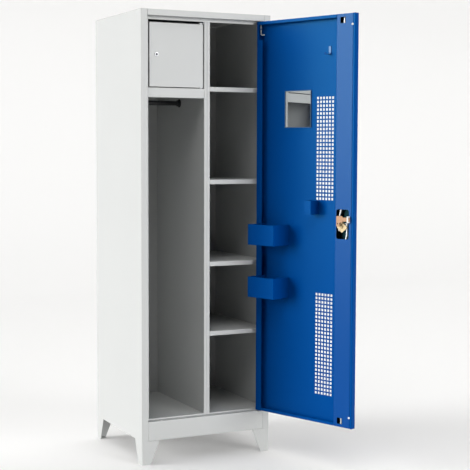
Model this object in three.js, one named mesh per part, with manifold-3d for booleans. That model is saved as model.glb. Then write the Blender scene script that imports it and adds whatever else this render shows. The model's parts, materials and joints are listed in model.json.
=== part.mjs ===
// Single-door clothes locker: a folded sheet steel cabinet on pressed legs, with a lockable
// compartment, a hanging space, four shelves and one inset door with a three-point lock.
// Millimetres, +Z up, the front faces -Y. The door stands open at rest.
import * as THREE from 'three';
import { mergeVertices, mergeGeometries } from 'three/addons/utils/BufferGeometryUtils.js';
import Module from 'manifold-3d';

const wasm = await Module();
wasm.setup();

// Driving dimensions
const HEIGHT = 1900;
const WIDTH = 600;
const DEPTH = 550;
const SHEET = 0.8;
const BEND_RADIUS = 1.5;
const FIT = 0.3;
const OVERRUN = 5;
const DOOR_OPEN = 110;

// Counts that set how finely round shapes are faceted
const BEND_STEPS = 3;
const ROUND_STEPS = 24;
const PIN_STEPS = 16;
const HEX_SIDES = 6;

// Cabinet sizes
const LEG = { height: 100, topWidth: 80, footWidth: 40, sheet: 2.5, tabSheet: 1.2, tabHeight: 50,
  tabDepth: 60, tabLap: 5, basePlate: 32, bend: 3 };
const STILE = { width: 30, recess: 30, lip: 14 };
const BACK = { flange: 15 };
const HEAD = { height: 26, lip: 13 };
const PLINTH = { height: 82, hem: 12, hemClear: 12 };
const FLOOR = { rise: 6, railHeight: 40, railFlange: 25 };
const PARTITION = { middle: 12.75, width: 27.5, groove: 1 };
const COMPARTMENT = { drop: 319, flange: 41, hem: 12 };
const SHELF = { drop: 20, hem: 10, rearDrop: 12, lower: [543, 844, 1196], topDrop: 310 };
const RAIL = { underFloor: 53, setBack: 290, radius: 10, wall: 1.5, plateRadius: 18, plate: 3,
  socketRadius: 13.5, socketLength: 13 };

// Main door sizes, for the door as it stands closed
const DOOR = { depth: 25, sideGap: 3.5, topGap: 3, bottomGap: 4, hingeLip: 33, lockLip: 9, endLip: 13 };
const PIVOT = { fromJamb: 12, fromFront: 8 };
const CHANNEL = { width: 85, window: { width: 65, height: 121, corner: 9, aside: 6.5, above: 12.5 },
  port: { width: 27, height: 25, fromEnd: 13 } };
const VENT = { hole: 10, pitch: 16, columns: 6, rows: 27, fromEdge: 169.5, upperDrop: 570,
  lowerZ: 514 };
const MIRROR = { fromHinge: 216.5, drop: 405, width: 146, height: 156, frame: 3, frameDepth: 4, glass: 2,
  lap: 2 };
const HOLDER = { fromHinge: 95.5, width: 146, depth: 100, height: 88, floors: [693, 918] };
const COMB = { fromHinge: 315, width: 35, depth: 53, height: 57, floor: 1057 };
const HOOK = { fromEdge: 146.5, width: 12, height: 33, sheet: 2, reach: 25, tip: 8, drop: 186, lean: 20 };
const BUMPER = { radius: 4.5, height: 4.7, fromEdge: 11.5, fromEnd: 45, stem: 3, stemRadius: 2 };

// Door pivots: a sliding L pin above, a headed pin below
const PIN = { radius: 3, above: 17, drop: 56, footReach: 20, travel: 16 };
const PIN_BUSH = { radius: 5.5, flangeRadius: 6.5, flange: 1.2, length: 8 };
const PIN_NOTCH = { clear: 3, reach: 20, drop: 14 };
const PIN_GUIDE = { sheet: 2, drop: 33 };
const LOW_PIN = { radius: 3, headRadius: 5, head: 2, above: 12 };
const WASHER = { radius: 6.5 };

// Three-point lock
const LOCK = { fromEdge: 61.5, z: 1010, crank: 14 };
const CAM = { width: 56, height: 46, corner: 5, sheet: 3, setBack: 18, pinRadius: 2.5, rodPin: 8,
  boltPin: 14.5 };
const SPINDLE = { side: 8, bore: 2.3 };
const CAM_SCREW = { headRadius: 6, head: 3, radius: 2, length: 8, slot: 1.2, slotDepth: 1 };
const ROD = { radius: 4, setBack: 13, offset: 21, straight: 40, sweep: 78, past: 1.5 };
const FORK = { sheet: 3, finger: 3.5, play: 0.7, reach: 14.5, root: 4 };
const BOLT = { sheet: 3, setBack: 31.6, tipFromEdge: 12, above: 33, tongue: 16, head: 26,
  headPastLock: 13, tail: 16, corner: 3 };
const BOLT_GUIDE = { width: 7, wall: 5.4, top: 2.5, fromEdge: 17 };
const ROD_GUIDE = { width: 22, height: 16, fromEnd: 90 };
const BOLT_HOLE = { radius: 6 };
const ESCUTCHEON = { radius: 26, depth: 4, tubeRadius: 9, tube: 11, bore: 6.3 };
const LOCK_NUT = { across: 26, depth: 5 };
const KNOB = { radius: 18, base: 9, grip: 54, gripWidth: 19, gripDepth: 11, pocket: 6 };
const CYLINDER = { radius: 8, depth: 9, proud: 1 };
const KEYWAY = { width: 2, height: 9, depth: 3 };

// Compartment door and its cam lock
const SMALL = { fromStile: 20, fromPartition: 4, belowHead: 24, aboveFloor: 4, setBack: 2, depth: 18,
  lip: 15 };
const SMALL_PIVOT = { fromEdge: 8.5, fromFace: 8, radius: 2.5, collarRadius: 5, into: 13, below: 9 };
const SMALL_BRACKET = { sheet: 2, reach: 23, depth: 21, drop: 22, gap: 3 };
const SMALL_LOCK = { fromEdge: 32, aboveEdge: 133, headRadius: 9.5, head: 3, bodyRadius: 8, body: 16.5,
  plugRadius: 5.5, nutAcross: 24, nut: 5 };
const SMALL_CAM = { width: 14, reach: 45, sheet: 2, behindFace: 18.6, hubRadius: 3, screwRadius: 5,
  screw: 2.5 };
const STRIKE = { height: 36, sheet: 2, foot: 29, gap: 0.8, reach: 45 };

// Places worked out from the sizes above
const HALF = SHEET / 2;
const SIDE = WIDTH / 2;
const FRONT = -DEPTH / 2;
const REAR = DEPTH / 2;
const OPENING = SIDE - STILE.width;
const STOP = FRONT + STILE.recess;
const SILL = LEG.height + PLINTH.height;
const HEAD_UNDER = HEIGHT - HEAD.height;
const ROOF_UNDER = HEIGHT - SHEET;
const LIP_BOTTOM = HEAD_UNDER - HEAD.lip;
const FLOOR_TOP = SILL + FLOOR.rise;
const INNER = SIDE - SHEET;
const BACK_FACE = REAR - SHEET - FIT - SHEET;
const BEHIND_STOP = STOP + SHEET + FIT;
const PARTITION_LEFT = PARTITION.middle - PARTITION.width / 2;
const PARTITION_RIGHT = PARTITION.middle + PARTITION.width / 2;
const PIVOT_X = OPENING - PIVOT.fromJamb;
const PIVOT_Y = FRONT + PIVOT.fromFront;
const DOOR_SIDE = OPENING - DOOR.sideGap;
const DOOR_TOP = HEAD_UNDER - DOOR.topGap;
const DOOR_BOTTOM = SILL + DOOR.bottomGap;
const DOOR_INNER = FRONT + DOOR.depth;
const SKIN = FRONT + SHEET;
const LOCK_X = LOCK.fromEdge - DOOR_SIDE;
const CAM_BACK = FRONT + CAM.setBack;
const ROD_Y = FRONT + ROD.setBack;
const BOLT_Y = FRONT + BOLT.setBack;
const MIRROR_X = DOOR_SIDE - MIRROR.fromHinge;
const SMALL_FACE = STOP + SMALL.setBack;
const SMALL_LEFT = SMALL.fromStile - OPENING;
const SMALL_RIGHT = PARTITION_LEFT - SMALL.fromPartition;
const SMALL_LOCK_X = SMALL_LEFT + SMALL_LOCK.fromEdge;
const SMALL_CAM_Y = SMALL_FACE + SMALL_CAM.behindFace;
const COMPARTMENT_FLOOR = HEIGHT - COMPARTMENT.drop;
const SMALL_BOTTOM = COMPARTMENT_FLOOR + SMALL.aboveFloor;
const SMALL_TOP = HEAD_UNDER - SMALL.belowHead;
const SMALL_LOCK_Z = SMALL_BOTTOM + SMALL_LOCK.aboveEdge;
const SHELF_TOPS = [...SHELF.lower, HEIGHT - SHELF.topDrop];
const RAIL_Z = COMPARTMENT_FLOOR - RAIL.underFloor;
const MIRROR_Z = HEIGHT - MIRROR.drop;
const PIN_FOOT = DOOR_TOP - PIN.drop;
const PIN_GUIDE_Z = DOOR_TOP - PIN_GUIDE.drop;

// Finishes, as colour, roughness and metalness
const GREY_PAINT = ['#d3d6d4', 0.45, 0.0];
const BLUE_PAINT = ['#0a4a9a', 0.4, 0.0];
const BLACK_PLASTIC = ['#101214', 0.5, 0.0];
const BRIGHT_STEEL = ['#c8ccd0', 0.3, 0.9];
const YELLOW_ZINC = ['#d8b25c', 0.35, 0.85];
const BRONZE_ZINC = ['#b77a45', 0.35, 0.85];
const WHITE_NYLON = ['#eceeee', 0.55, 0.0];
const MIRROR_GLASS = ['#9aa4ab', 0.05, 1.0];
const CHROME = ['#dfe2e4', 0.12, 1.0];

// Solids: closed triangle meshes that can be joined and cut
function solid(geometry) {
  const bare = geometry.clone();
  bare.deleteAttribute('normal');
  bare.deleteAttribute('uv');
  const merged = mergeVertices(bare);
  return new wasm.Manifold(new wasm.Mesh({
    numProp: 3,
    vertProperties: new Float32Array(merged.attributes.position.array),
    triVerts: new Uint32Array(merged.index.array),
  }));
}

function surface(body) {
  const mesh = body.getMesh();
  const geometry = new THREE.BufferGeometry();
  geometry.setAttribute('position', new THREE.BufferAttribute(mesh.vertProperties, mesh.numProp));
  geometry.setIndex(new THREE.BufferAttribute(mesh.triVerts, 1));
  return geometry;
}

function join(...geometries) {
  return surface(geometries.map(solid).reduce((whole, next) => whole.add(next)));
}

function cut(geometry, ...tools) {
  return surface(tools.map(solid).reduce((whole, tool) => whole.subtract(tool), solid(geometry)));
}

// Extrusions: an outline in plan, in side view (y, z) or in front view (x, z)
function extrude(outline, length) {
  const settings = { depth: length, bevelEnabled: false, curveSegments: BEND_STEPS };
  return new THREE.ExtrudeGeometry(outline, settings);
}

function upright(outline, low, high) {
  return extrude(outline, high - low).translate(0, 0, low);
}

function alongX(outline, low, high) {
  const turn = new THREE.Matrix4().makeBasis(
    new THREE.Vector3(0, 1, 0), new THREE.Vector3(0, 0, 1), new THREE.Vector3(1, 0, 0));
  return extrude(outline, high - low).applyMatrix4(turn).translate(low, 0, 0);
}

function alongY(outline, low, high) {
  const turn = new THREE.Matrix4().makeBasis(
    new THREE.Vector3(1, 0, 0), new THREE.Vector3(0, 0, 1), new THREE.Vector3(0, -1, 0));
  return extrude(outline, high - low).applyMatrix4(turn).translate(0, high, 0);
}

function block(x0, x1, y0, y1, z0, z1) {
  return new THREE.BoxGeometry(x1 - x0, y1 - y0, z1 - z0)
    .translate((x0 + x1) / 2, (y0 + y1) / 2, (z0 + z1) / 2);
}

function polygon(points) {
  return new THREE.Shape(points.map(([a, b]) => new THREE.Vector2(a, b)));
}

// Outline of a folded sheet: a centre line, thickened evenly, with an arc at each fold
function folded(path, thickness = SHEET, inside = BEND_RADIUS) {
  const line = path.map(([a, b]) => new THREE.Vector2(a, b));
  const radius = inside + thickness / 2;
  const samples = [];
  line.forEach((point, i) => {
    const before = i > 0 ? point.clone().sub(line[i - 1]).normalize() : null;
    const after = i < line.length - 1 ? line[i + 1].clone().sub(point).normalize() : null;
    if (!before || !after) {
      samples.push([point, before ?? after]);
      return;
    }
    const turn = Math.atan2(before.cross(after), before.dot(after));
    const start = point.clone().addScaledVector(before, -radius * Math.tan(Math.abs(turn) / 2));
    const side = Math.sign(turn);
    const centre = new THREE.Vector2(-before.y, before.x).multiplyScalar(side * radius).add(start);
    for (let step = 0; step <= BEND_STEPS; step += 1) {
      const angle = turn * step / BEND_STEPS;
      samples.push([start.clone().rotateAround(centre, angle),
        before.clone().rotateAround(new THREE.Vector2(), angle)]);
    }
  });
  const offset = (share) => samples.map(([point, way]) =>
    new THREE.Vector2(-way.y, way.x).multiplyScalar(thickness * share).add(point));
  const [leftShare, rightShare] = [0.5, -0.5];
  return new THREE.Shape([...offset(leftShare), ...offset(rightShare).reverse()]);
}

// Round solids about an upright, a left-right or a front-back axis
function roundZ(profile, x, y, steps = ROUND_STEPS) {
  const points = profile.map(([r, z]) => new THREE.Vector2(r, z));
  return new THREE.LatheGeometry(points, steps).rotateX(Math.PI / 2).translate(x, y, 0);
}

function rodZ(x, y, z0, z1, radius, steps = ROUND_STEPS) {
  return roundZ([[0, z0], [radius, z0], [radius, z1], [0, z1]], x, y, steps);
}

function rodY(x, z, y0, y1, radius, steps = ROUND_STEPS) {
  return new THREE.CylinderGeometry(radius, radius, y1 - y0, steps).translate(x, (y0 + y1) / 2, z);
}

function rodX(y, z, x0, x1, radius, steps = ROUND_STEPS) {
  return new THREE.CylinderGeometry(radius, radius, x1 - x0, steps)
    .rotateZ(Math.PI / 2).translate((x0 + x1) / 2, y, z);
}

function roundedRect(x0, x1, z0, z1, corner) {
  const shape = new THREE.Shape();
  shape.moveTo(x0 + corner, z0);
  shape.lineTo(x1 - corner, z0);
  shape.absarc(x1 - corner, z0 + corner, corner, -Math.PI / 2, 0);
  shape.lineTo(x1, z1 - corner);
  shape.absarc(x1 - corner, z1 - corner, corner, 0, Math.PI / 2);
  shape.lineTo(x0 + corner, z1);
  shape.absarc(x0 + corner, z1 - corner, corner, Math.PI / 2, Math.PI);
  shape.lineTo(x0, z0 + corner);
  shape.absarc(x0 + corner, z0 + corner, corner, Math.PI, 3 * Math.PI / 2);
  return shape;
}

// Outline through corner points, with each corner rounded to one radius
function roundedCorners(points, radius) {
  const corners = points.map(([a, b]) => new THREE.Vector2(a, b));
  const shape = new THREE.Shape();
  corners.forEach((corner, i) => {
    const before = corners[(i + corners.length - 1) % corners.length].clone().sub(corner).normalize();
    const after = corners[(i + 1) % corners.length].clone().sub(corner).normalize();
    const setBack = radius / Math.tan(Math.acos(before.dot(after)) / 2);
    const from = corner.clone().addScaledVector(before, setBack);
    const to = corner.clone().addScaledVector(after, setBack);
    const side = Math.sign(after.cross(before));
    const centre = new THREE.Vector2(before.y, -before.x).multiplyScalar(side * radius).add(from);
    const angle = (point) => Math.atan2(point.y - centre.y, point.x - centre.x);
    if (i === 0) shape.moveTo(from.x, from.y);
    else shape.lineTo(from.x, from.y);
    shape.absarc(centre.x, centre.y, radius, angle(from), angle(to), side < 0);
  });
  return shape;
}

// The object: everything fixed is in the cabinet group, everything on the door in the door group
const locker = new THREE.Group();
const cabinet = new THREE.Group();
const doorHinge = new THREE.Group();
const door = new THREE.Group();
doorHinge.position.set(PIVOT_X, PIVOT_Y, 0);
doorHinge.rotation.z = THREE.MathUtils.degToRad(DOOR_OPEN);
door.position.set(-PIVOT_X, -PIVOT_Y, 0);
doorHinge.add(door);
locker.add(cabinet, doorHinge);

function place(group, name, geometry, [color, roughness, metalness]) {
  const plain = geometry.clone();
  plain.deleteAttribute('uv');
  plain.deleteAttribute('normal');
  const mesh = new THREE.Mesh(plain, new THREE.MeshStandardMaterial({ color, roughness, metalness }));
  mesh.name = name;
  group.add(mesh);
}

// Cabinet shell
function sidePanel(side) {
  const outline = folded([
    [side * (SIDE - BACK.flange), REAR - HALF],
    [side * (SIDE - HALF), REAR - HALF],
    [side * (SIDE - HALF), FRONT + HALF],
    [side * (OPENING + HALF), FRONT + HALF],
    [side * (OPENING + HALF), STOP + HALF],
    [side * (OPENING - STILE.lip), STOP + HALF],
  ]);
  const lipCut = (low, high) => {
    const edges = [side * OPENING, side * (OPENING - STILE.lip - OVERRUN)].sort((a, b) => a - b);
    return block(...edges, STOP - OVERRUN, STOP + OVERRUN, low, high);
  };
  return cut(
    upright(outline, LEG.height, ROOF_UNDER - FIT),
    lipCut(LIP_BOTTOM - FIT, HEIGHT),
    lipCut(0, FLOOR_TOP + FIT),
  );
}

function topPanel() {
  const rail = folded([
    [FRONT + HALF, HEIGHT - HALF],
    [FRONT + HALF, HEAD_UNDER + HALF],
    [STOP + HALF, HEAD_UNDER + HALF],
    [STOP + HALF, LIP_BOTTOM],
  ]);
  const panel = join(
    block(-SIDE, SIDE, FRONT, REAR, ROOF_UNDER, HEIGHT),
    alongX(rail, -OPENING + FIT, OPENING - FIT),
  );
  const through = [HEAD_UNDER - OVERRUN, HEAD_UNDER + OVERRUN];
  return cut(
    panel,
    rodZ(LOCK_X, ROD_Y, ...through, BOLT_HOLE.radius),
    rodZ(PIVOT_X, PIVOT_Y, ...through, PIN_BUSH.radius + FIT),
  );
}

function backPanel() {
  const edge = INNER - BEND_RADIUS;
  return block(-edge, edge, BACK_FACE, BACK_FACE + SHEET, LEG.height, ROOF_UNDER - FIT);
}

function plinthRail() {
  const outline = folded([
    [FRONT + HALF + PLINTH.hem, LEG.height + HALF],
    [FRONT + HALF, LEG.height + HALF],
    [FRONT + HALF, SILL - HALF],
    [STOP + SHEET, SILL - HALF],
  ]);
  const legRoom = (side) => {
    const edges = [side * (SIDE - LEG.topWidth - PLINTH.hemClear), side * SIDE].sort((a, b) => a - b);
    const lift = LEG.height + SHEET + BEND_RADIUS;
    return block(...edges, FRONT + SHEET + FIT, STOP, LEG.height - OVERRUN, lift);
  };
  const through = [SILL - OVERRUN, SILL + OVERRUN];
  return cut(
    alongX(outline, -OPENING + FIT, OPENING - FIT),
    legRoom(-1),
    legRoom(1),
    rodZ(LOCK_X, ROD_Y, ...through, BOLT_HOLE.radius),
    rodZ(PIVOT_X, PIVOT_Y, ...through, LOW_PIN.radius + FIT),
  );
}

function floorPanel() {
  const front = folded([
    [STOP + HALF, SILL + FIT],
    [STOP + HALF, FLOOR_TOP - HALF],
    [BEHIND_STOP + OVERRUN, FLOOR_TOP - HALF],
  ]);
  return join(
    alongX(front, -OPENING + FIT, OPENING - FIT),
    block(-INNER + FIT, INNER - FIT, BEHIND_STOP, BACK_FACE - FIT, FLOOR_TOP - SHEET, FLOOR_TOP),
  );
}

function floorRail() {
  const back = BACK_FACE - FIT - HALF;
  const top = FLOOR_TOP - SHEET - FIT - HALF;
  const outline = folded([[back - FLOOR.railFlange, top], [back, top], [back, top - FLOOR.railHeight]]);
  return alongX(outline, -INNER + FIT, INNER - FIT);
}

function partitionSkin(side) {
  const web = side < 0 ? PARTITION_LEFT + HALF : PARTITION_RIGHT - HALF;
  const edge = PARTITION.middle + side * PARTITION.groove / 2;
  const outline = folded([[web, BACK_FACE - FIT], [web, STOP + HALF], [edge, STOP + HALF]]);
  const headRoom = block(PARTITION_LEFT - OVERRUN, PARTITION_RIGHT + OVERRUN,
    STOP - OVERRUN, BEHIND_STOP, LIP_BOTTOM - FIT, HEIGHT);
  return cut(upright(outline, FLOOR_TOP + FIT, ROOF_UNDER - FIT), headRoom);
}

function compartmentFloor() {
  const top = COMPARTMENT_FLOOR - HALF;
  const low = COMPARTMENT_FLOOR - COMPARTMENT.flange + HALF;
  const flange = folded([
    [STOP + HALF + COMPARTMENT.hem, low],
    [STOP + HALF, low],
    [STOP + HALF, top],
    [BEHIND_STOP + OVERRUN, top],
  ]);
  const right = PARTITION_LEFT - FIT;
  return cut(
    join(
      alongX(flange, -OPENING + STILE.lip + FIT, right),
      block(-INNER + FIT, right, BEHIND_STOP, BACK_FACE - FIT, top - HALF, top + HALF),
    ),
    rodZ(SMALL_RIGHT - SMALL_PIVOT.fromEdge, SMALL_FACE + SMALL_PIVOT.fromFace,
      top - OVERRUN, top + OVERRUN, SMALL_PIVOT.radius + FIT),
  );
}

function shelf(top) {
  const low = top - SHELF.drop + HALF;
  const outline = folded([
    [BEHIND_STOP + HALF + SHELF.hem, low],
    [BEHIND_STOP + HALF, low],
    [BEHIND_STOP + HALF, top - HALF],
    [BACK_FACE - FIT - HALF, top - HALF],
    [BACK_FACE - FIT - HALF, top - SHELF.rearDrop],
  ]);
  return alongX(outline, PARTITION_RIGHT + FIT, INNER - FIT);
}

// A pressed leg: a tapered angle with a turned-in base and a tab that reaches up inside the side panel
function leg(sideX, sideY) {
  const at = (x, y) => [sideX * x, sideY * y];
  const mid = LEG.sheet / 2;
  const angle = folded([
    at(SIDE - LEG.topWidth, REAR - mid),
    at(SIDE - mid, REAR - mid),
    at(SIDE - mid, REAR - LEG.topWidth),
  ], LEG.sheet, LEG.bend);
  const top = LEG.height - FIT;
  const taper = (sign) => {
    const inner = SIDE - LEG.topWidth - OVERRUN;
    return polygon([
      [sign * inner, -OVERRUN],
      [sign * (SIDE - LEG.footWidth), -OVERRUN],
      [sign * (SIDE - LEG.footWidth), 0],
      [sign * (SIDE - LEG.topWidth), top],
      [sign * inner, top],
    ]);
  };
  const shift = REAR - SIDE;
  const span = (a, b) => [a, b].sort((p, q) => p - q);
  const tabOut = SIDE - SHEET - FIT;
  const tab = block(...span(sideX * (tabOut - LEG.tabSheet), sideX * tabOut),
    ...span(sideY * (REAR - LEG.tabDepth), sideY * (REAR - LEG.sheet - LEG.bend)),
    top - LEG.tabLap, LEG.height + LEG.tabHeight);
  const base = block(...span(sideX * (SIDE - mid), sideX * (SIDE - LEG.basePlate)),
    ...span(sideY * (REAR - mid), sideY * (REAR - LEG.basePlate)), 0, LEG.sheet);
  const wedgeX = alongY(taper(sideX), ...span(sideY * (REAR + OVERRUN), sideY * (REAR - LEG.sheet - FIT)));
  const wedgeY = alongX(taper(sideY), ...span(sideX * (SIDE + OVERRUN), sideX * (SIDE - LEG.sheet - FIT)))
    .translate(0, sideY * shift, 0);
  return join(cut(upright(angle, 0, top), wedgeX, wedgeY), tab, base);
}

const SIDES = { left: -1, right: 1 };
const ENDS = { front: -1, rear: 1 };
Object.entries(SIDES).forEach(([name, side]) => {
  place(cabinet, `${name}_side_panel`, sidePanel(side), GREY_PAINT);
  place(cabinet, `partition_${name}_skin`, partitionSkin(side), GREY_PAINT);
  Object.entries(ENDS).forEach(([end, way]) => {
    place(cabinet, `${end}_${name}_leg`, leg(side, way), GREY_PAINT);
  });
});
place(cabinet, 'top_panel', topPanel(), GREY_PAINT);
place(cabinet, 'back_panel', backPanel(), GREY_PAINT);
place(cabinet, 'front_plinth_rail', plinthRail(), GREY_PAINT);
place(cabinet, 'floor_panel', floorPanel(), GREY_PAINT);
place(cabinet, 'floor_rear_rail', floorRail(), GREY_PAINT);
place(cabinet, 'compartment_floor', compartmentFloor(), GREY_PAINT);
SHELF_TOPS.forEach((top, i) => place(cabinet, `shelf_${i + 1}`, shelf(top), GREY_PAINT));

// Clothes rail: a tube across the hanging space, in a round socket at each end
function clothesRail() {
  const y = FRONT + RAIL.setBack;
  const ends = [-INNER + FIT + RAIL.plate + FIT, PARTITION_LEFT - FIT - RAIL.plate - FIT];
  return cut(
    rodX(y, RAIL_Z, ...ends, RAIL.radius),
    rodX(y, RAIL_Z, ends[0] - OVERRUN, ends[1] + OVERRUN, RAIL.radius - RAIL.wall),
  );
}

function railSocket(wall, inward) {
  const y = FRONT + RAIL.setBack;
  const span = (from, to) => [wall + inward * from, wall + inward * to].sort((a, b) => a - b);
  return cut(
    join(
      rodX(y, RAIL_Z, ...span(FIT, FIT + RAIL.plate), RAIL.plateRadius),
      rodX(y, RAIL_Z, ...span(FIT, FIT + RAIL.socketLength), RAIL.socketRadius),
    ),
    rodX(y, RAIL_Z, ...span(FIT + RAIL.plate, RAIL.socketLength + OVERRUN), RAIL.radius + FIT),
  );
}

place(cabinet, 'clothes_rail', clothesRail(), BLACK_PLASTIC);
place(cabinet, 'rail_socket_left', railSocket(-INNER, 1), BLACK_PLASTIC);
place(cabinet, 'rail_socket_right', railSocket(PARTITION_LEFT, -1), BLACK_PLASTIC);

// A door pan: a skin with its four edges folded back and turned in
function pan({ left, right, bottom, top, face, depth, leftLip, rightLip, endLip }) {
  const inner = face + depth - HALF;
  const walls = folded([
    [left + leftLip, inner],
    [left + HALF, inner],
    [left + HALF, face + HALF],
    [right - HALF, face + HALF],
    [right - HALF, inner],
    [right - rightLip, inner],
  ]);
  const fold = (edge, way) => folded([
    [face + HALF, edge - way * HALF],
    [inner, edge - way * HALF],
    [inner, edge - way * endLip],
  ]);
  return join(
    upright(walls, bottom, top),
    alongX(fold(top, 1), left + HALF, right - HALF),
    alongX(fold(bottom, -1), left + HALF, right - HALF),
  );
}

function ventHoles(middleZ) {
  const holes = [];
  const half = VENT.hole / 2;
  for (let column = 0; column < VENT.columns; column += 1) {
    for (let row = 0; row < VENT.rows; row += 1) {
      const x = VENT.fromEdge - DOOR_SIDE + (column - (VENT.columns - 1) / 2) * VENT.pitch;
      const z = middleZ + (row - (VENT.rows - 1) / 2) * VENT.pitch;
      holes.push(block(x - half, x + half, FRONT - OVERRUN, FRONT + OVERRUN, z - half, z + half));
    }
  }
  return mergeGeometries(holes);
}

function doorPanel() {
  const panel = pan({
    left: -DOOR_SIDE, right: DOOR_SIDE, bottom: DOOR_BOTTOM, top: DOOR_TOP, face: FRONT, depth: DOOR.depth,
    leftLip: DOOR.lockLip, rightLip: DOOR.hingeLip, endLip: DOOR.endLip,
  });
  const channelEdge = -DOOR_SIDE + DOOR.lockLip + CHANNEL.width;
  const channelRoom = (low, high) => block(-DOOR_SIDE + DOOR.lockLip, channelEdge + FIT + FIT,
    DOOR_INNER - SHEET - BEND_RADIUS, DOOR_INNER + OVERRUN, low, high);
  const notch = block(DOOR_SIDE - DOOR.hingeLip - OVERRUN, DOOR_SIDE - DOOR.hingeLip + PIN_NOTCH.reach,
    DOOR_INNER - SHEET - OVERRUN, DOOR_INNER + OVERRUN,
    PIN_FOOT - PIN.radius - PIN.travel - PIN_NOTCH.clear, DOOR_TOP - PIN_NOTCH.drop);
  const topWall = [DOOR_TOP - OVERRUN, DOOR_TOP + OVERRUN];
  const bottomWall = [DOOR_BOTTOM - OVERRUN, DOOR_BOTTOM + OVERRUN];
  const rodHole = ROD.radius + FORK.play;
  return cut(
    panel,
    ventHoles(HEIGHT - VENT.upperDrop),
    ventHoles(VENT.lowerZ),
    channelRoom(DOOR_TOP - DOOR.endLip - OVERRUN, DOOR_TOP - SHEET),
    channelRoom(DOOR_BOTTOM + SHEET, DOOR_BOTTOM + DOOR.endLip + OVERRUN),
    notch,
    rodZ(LOCK_X, ROD_Y, ...topWall, rodHole),
    rodZ(LOCK_X, ROD_Y, ...bottomWall, rodHole),
    rodZ(PIVOT_X, PIVOT_Y, ...topWall, PIN.radius + FIT),
    rodZ(PIVOT_X, PIVOT_Y, ...bottomWall, LOW_PIN.radius + FIT),
    rodY(LOCK_X, LOCK.z, FRONT - OVERRUN, FRONT + OVERRUN, ESCUTCHEON.tubeRadius + FIT),
  );
}

// Lock channel: a closed box section up the free edge of the door, cut away over the lock
function lockChannel() {
  const right = -DOOR_SIDE + DOOR.lockLip + CHANNEL.width;
  const left = -DOOR_SIDE + DOOR.lockLip + FIT;
  const [low, high] = [DOOR_BOTTOM + SHEET + FIT, DOOR_TOP - SHEET - FIT];
  const section = folded([
    [left + HALF, SKIN + FIT],
    [left + HALF, DOOR_INNER - HALF],
    [right - HALF, DOOR_INNER - HALF],
    [right - HALF, SKIN + FIT],
  ]);
  const { width, height, corner, aside, above } = CHANNEL.window;
  const middle = [LOCK_X - aside, LOCK.z + above];
  const windowCut = alongY(
    roundedRect(middle[0] - width / 2, middle[0] + width / 2, middle[1] - height / 2, middle[1] + height / 2,
      corner),
    DOOR_INNER - OVERRUN, DOOR_INNER + OVERRUN);
  const port = (z0, z1) => block(LOCK_X - CHANNEL.port.width / 2, LOCK_X + CHANNEL.port.width / 2,
    DOOR_INNER - OVERRUN, DOOR_INNER + OVERRUN, z0, z1);
  const { height: portHeight, fromEnd } = CHANNEL.port;
  const studHole = (z) => rodY(BUMPER.fromEdge - DOOR_SIDE, z, DOOR_INNER - OVERRUN, DOOR_INNER + OVERRUN,
    BUMPER.stemRadius + FIT, PIN_STEPS);
  return cut(
    upright(section, low, high),
    windowCut,
    port(DOOR_TOP - fromEnd - portHeight, DOOR_TOP - fromEnd),
    port(DOOR_BOTTOM + fromEnd, DOOR_BOTTOM + fromEnd + portHeight),
    studHole(DOOR_TOP - BUMPER.fromEnd),
    studHole(DOOR_BOTTOM + BUMPER.fromEnd),
  );
}

function bumper(z) {
  const base = DOOR_INNER + FIT / 2;
  const { radius, height, stem, stemRadius } = BUMPER;
  const domeShare = 0.6;
  return new THREE.LatheGeometry([
    [0, -stem], [stemRadius, -stem], [stemRadius, 0], [radius, 0], [radius, height * domeShare],
    [radius * domeShare, height - FIT / 2], [0, height - FIT / 2],
  ].map(([r, y]) => new THREE.Vector2(r, y)), PIN_STEPS).translate(BUMPER.fromEdge - DOOR_SIDE, base, z);
}

place(door, 'door_panel', doorPanel(), BLUE_PAINT);
place(door, 'door_lock_channel', lockChannel(), BLUE_PAINT);
place(door, 'bumper_upper', bumper(DOOR_TOP - BUMPER.fromEnd), WHITE_NYLON);
place(door, 'bumper_lower', bumper(DOOR_BOTTOM + BUMPER.fromEnd), WHITE_NYLON);

// Door furniture: mirror, open-topped holders and a towel hook
function mirrorFrame() {
  const y = SKIN + FIT;
  const [w, h] = [MIRROR.width / 2, MIRROR.height / 2];
  const ring = (inset, y0, y1) => block(MIRROR_X - w + inset, MIRROR_X + w - inset, y0, y1,
    MIRROR_Z - h + inset, MIRROR_Z + h - inset);
  return cut(
    ring(0, y, y + MIRROR.frameDepth),
    ring(MIRROR.frame, y - OVERRUN, y + MIRROR.frameDepth + OVERRUN),
    ring(MIRROR.frame - MIRROR.lap, y - OVERRUN, y + MIRROR.glass + FIT + FIT),
  );
}

function mirrorGlass() {
  const inset = MIRROR.frame - MIRROR.lap + FIT;
  const [w, h] = [MIRROR.width / 2 - inset, MIRROR.height / 2 - inset];
  const y = SKIN + FIT;
  return block(MIRROR_X - w, MIRROR_X + w, y, y + MIRROR.glass, MIRROR_Z - h, MIRROR_Z + h);
}

// An open-topped box on the door's skin, stepped round the return lip where it meets it
function openBox({ fromHinge, width, depth, height }, floor) {
  const x = DOOR_SIDE - fromHinge;
  const [left, right] = [x - width / 2, x + width / 2];
  const [back, front] = [SKIN + FIT, SKIN + FIT + depth];
  const lipEdge = DOOR_SIDE - DOOR.hingeLip - FIT;
  const layer = (wall, low, high) => join(
    block(left + wall, Math.min(right, lipEdge) - wall, back + wall, front - wall, low, high),
    block(left + wall, right - wall, DOOR_INNER + FIT + wall, front - wall, low, high),
  );
  return cut(layer(0, floor, floor + height), layer(SHEET, floor + SHEET, floor + height + OVERRUN));
}

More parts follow.
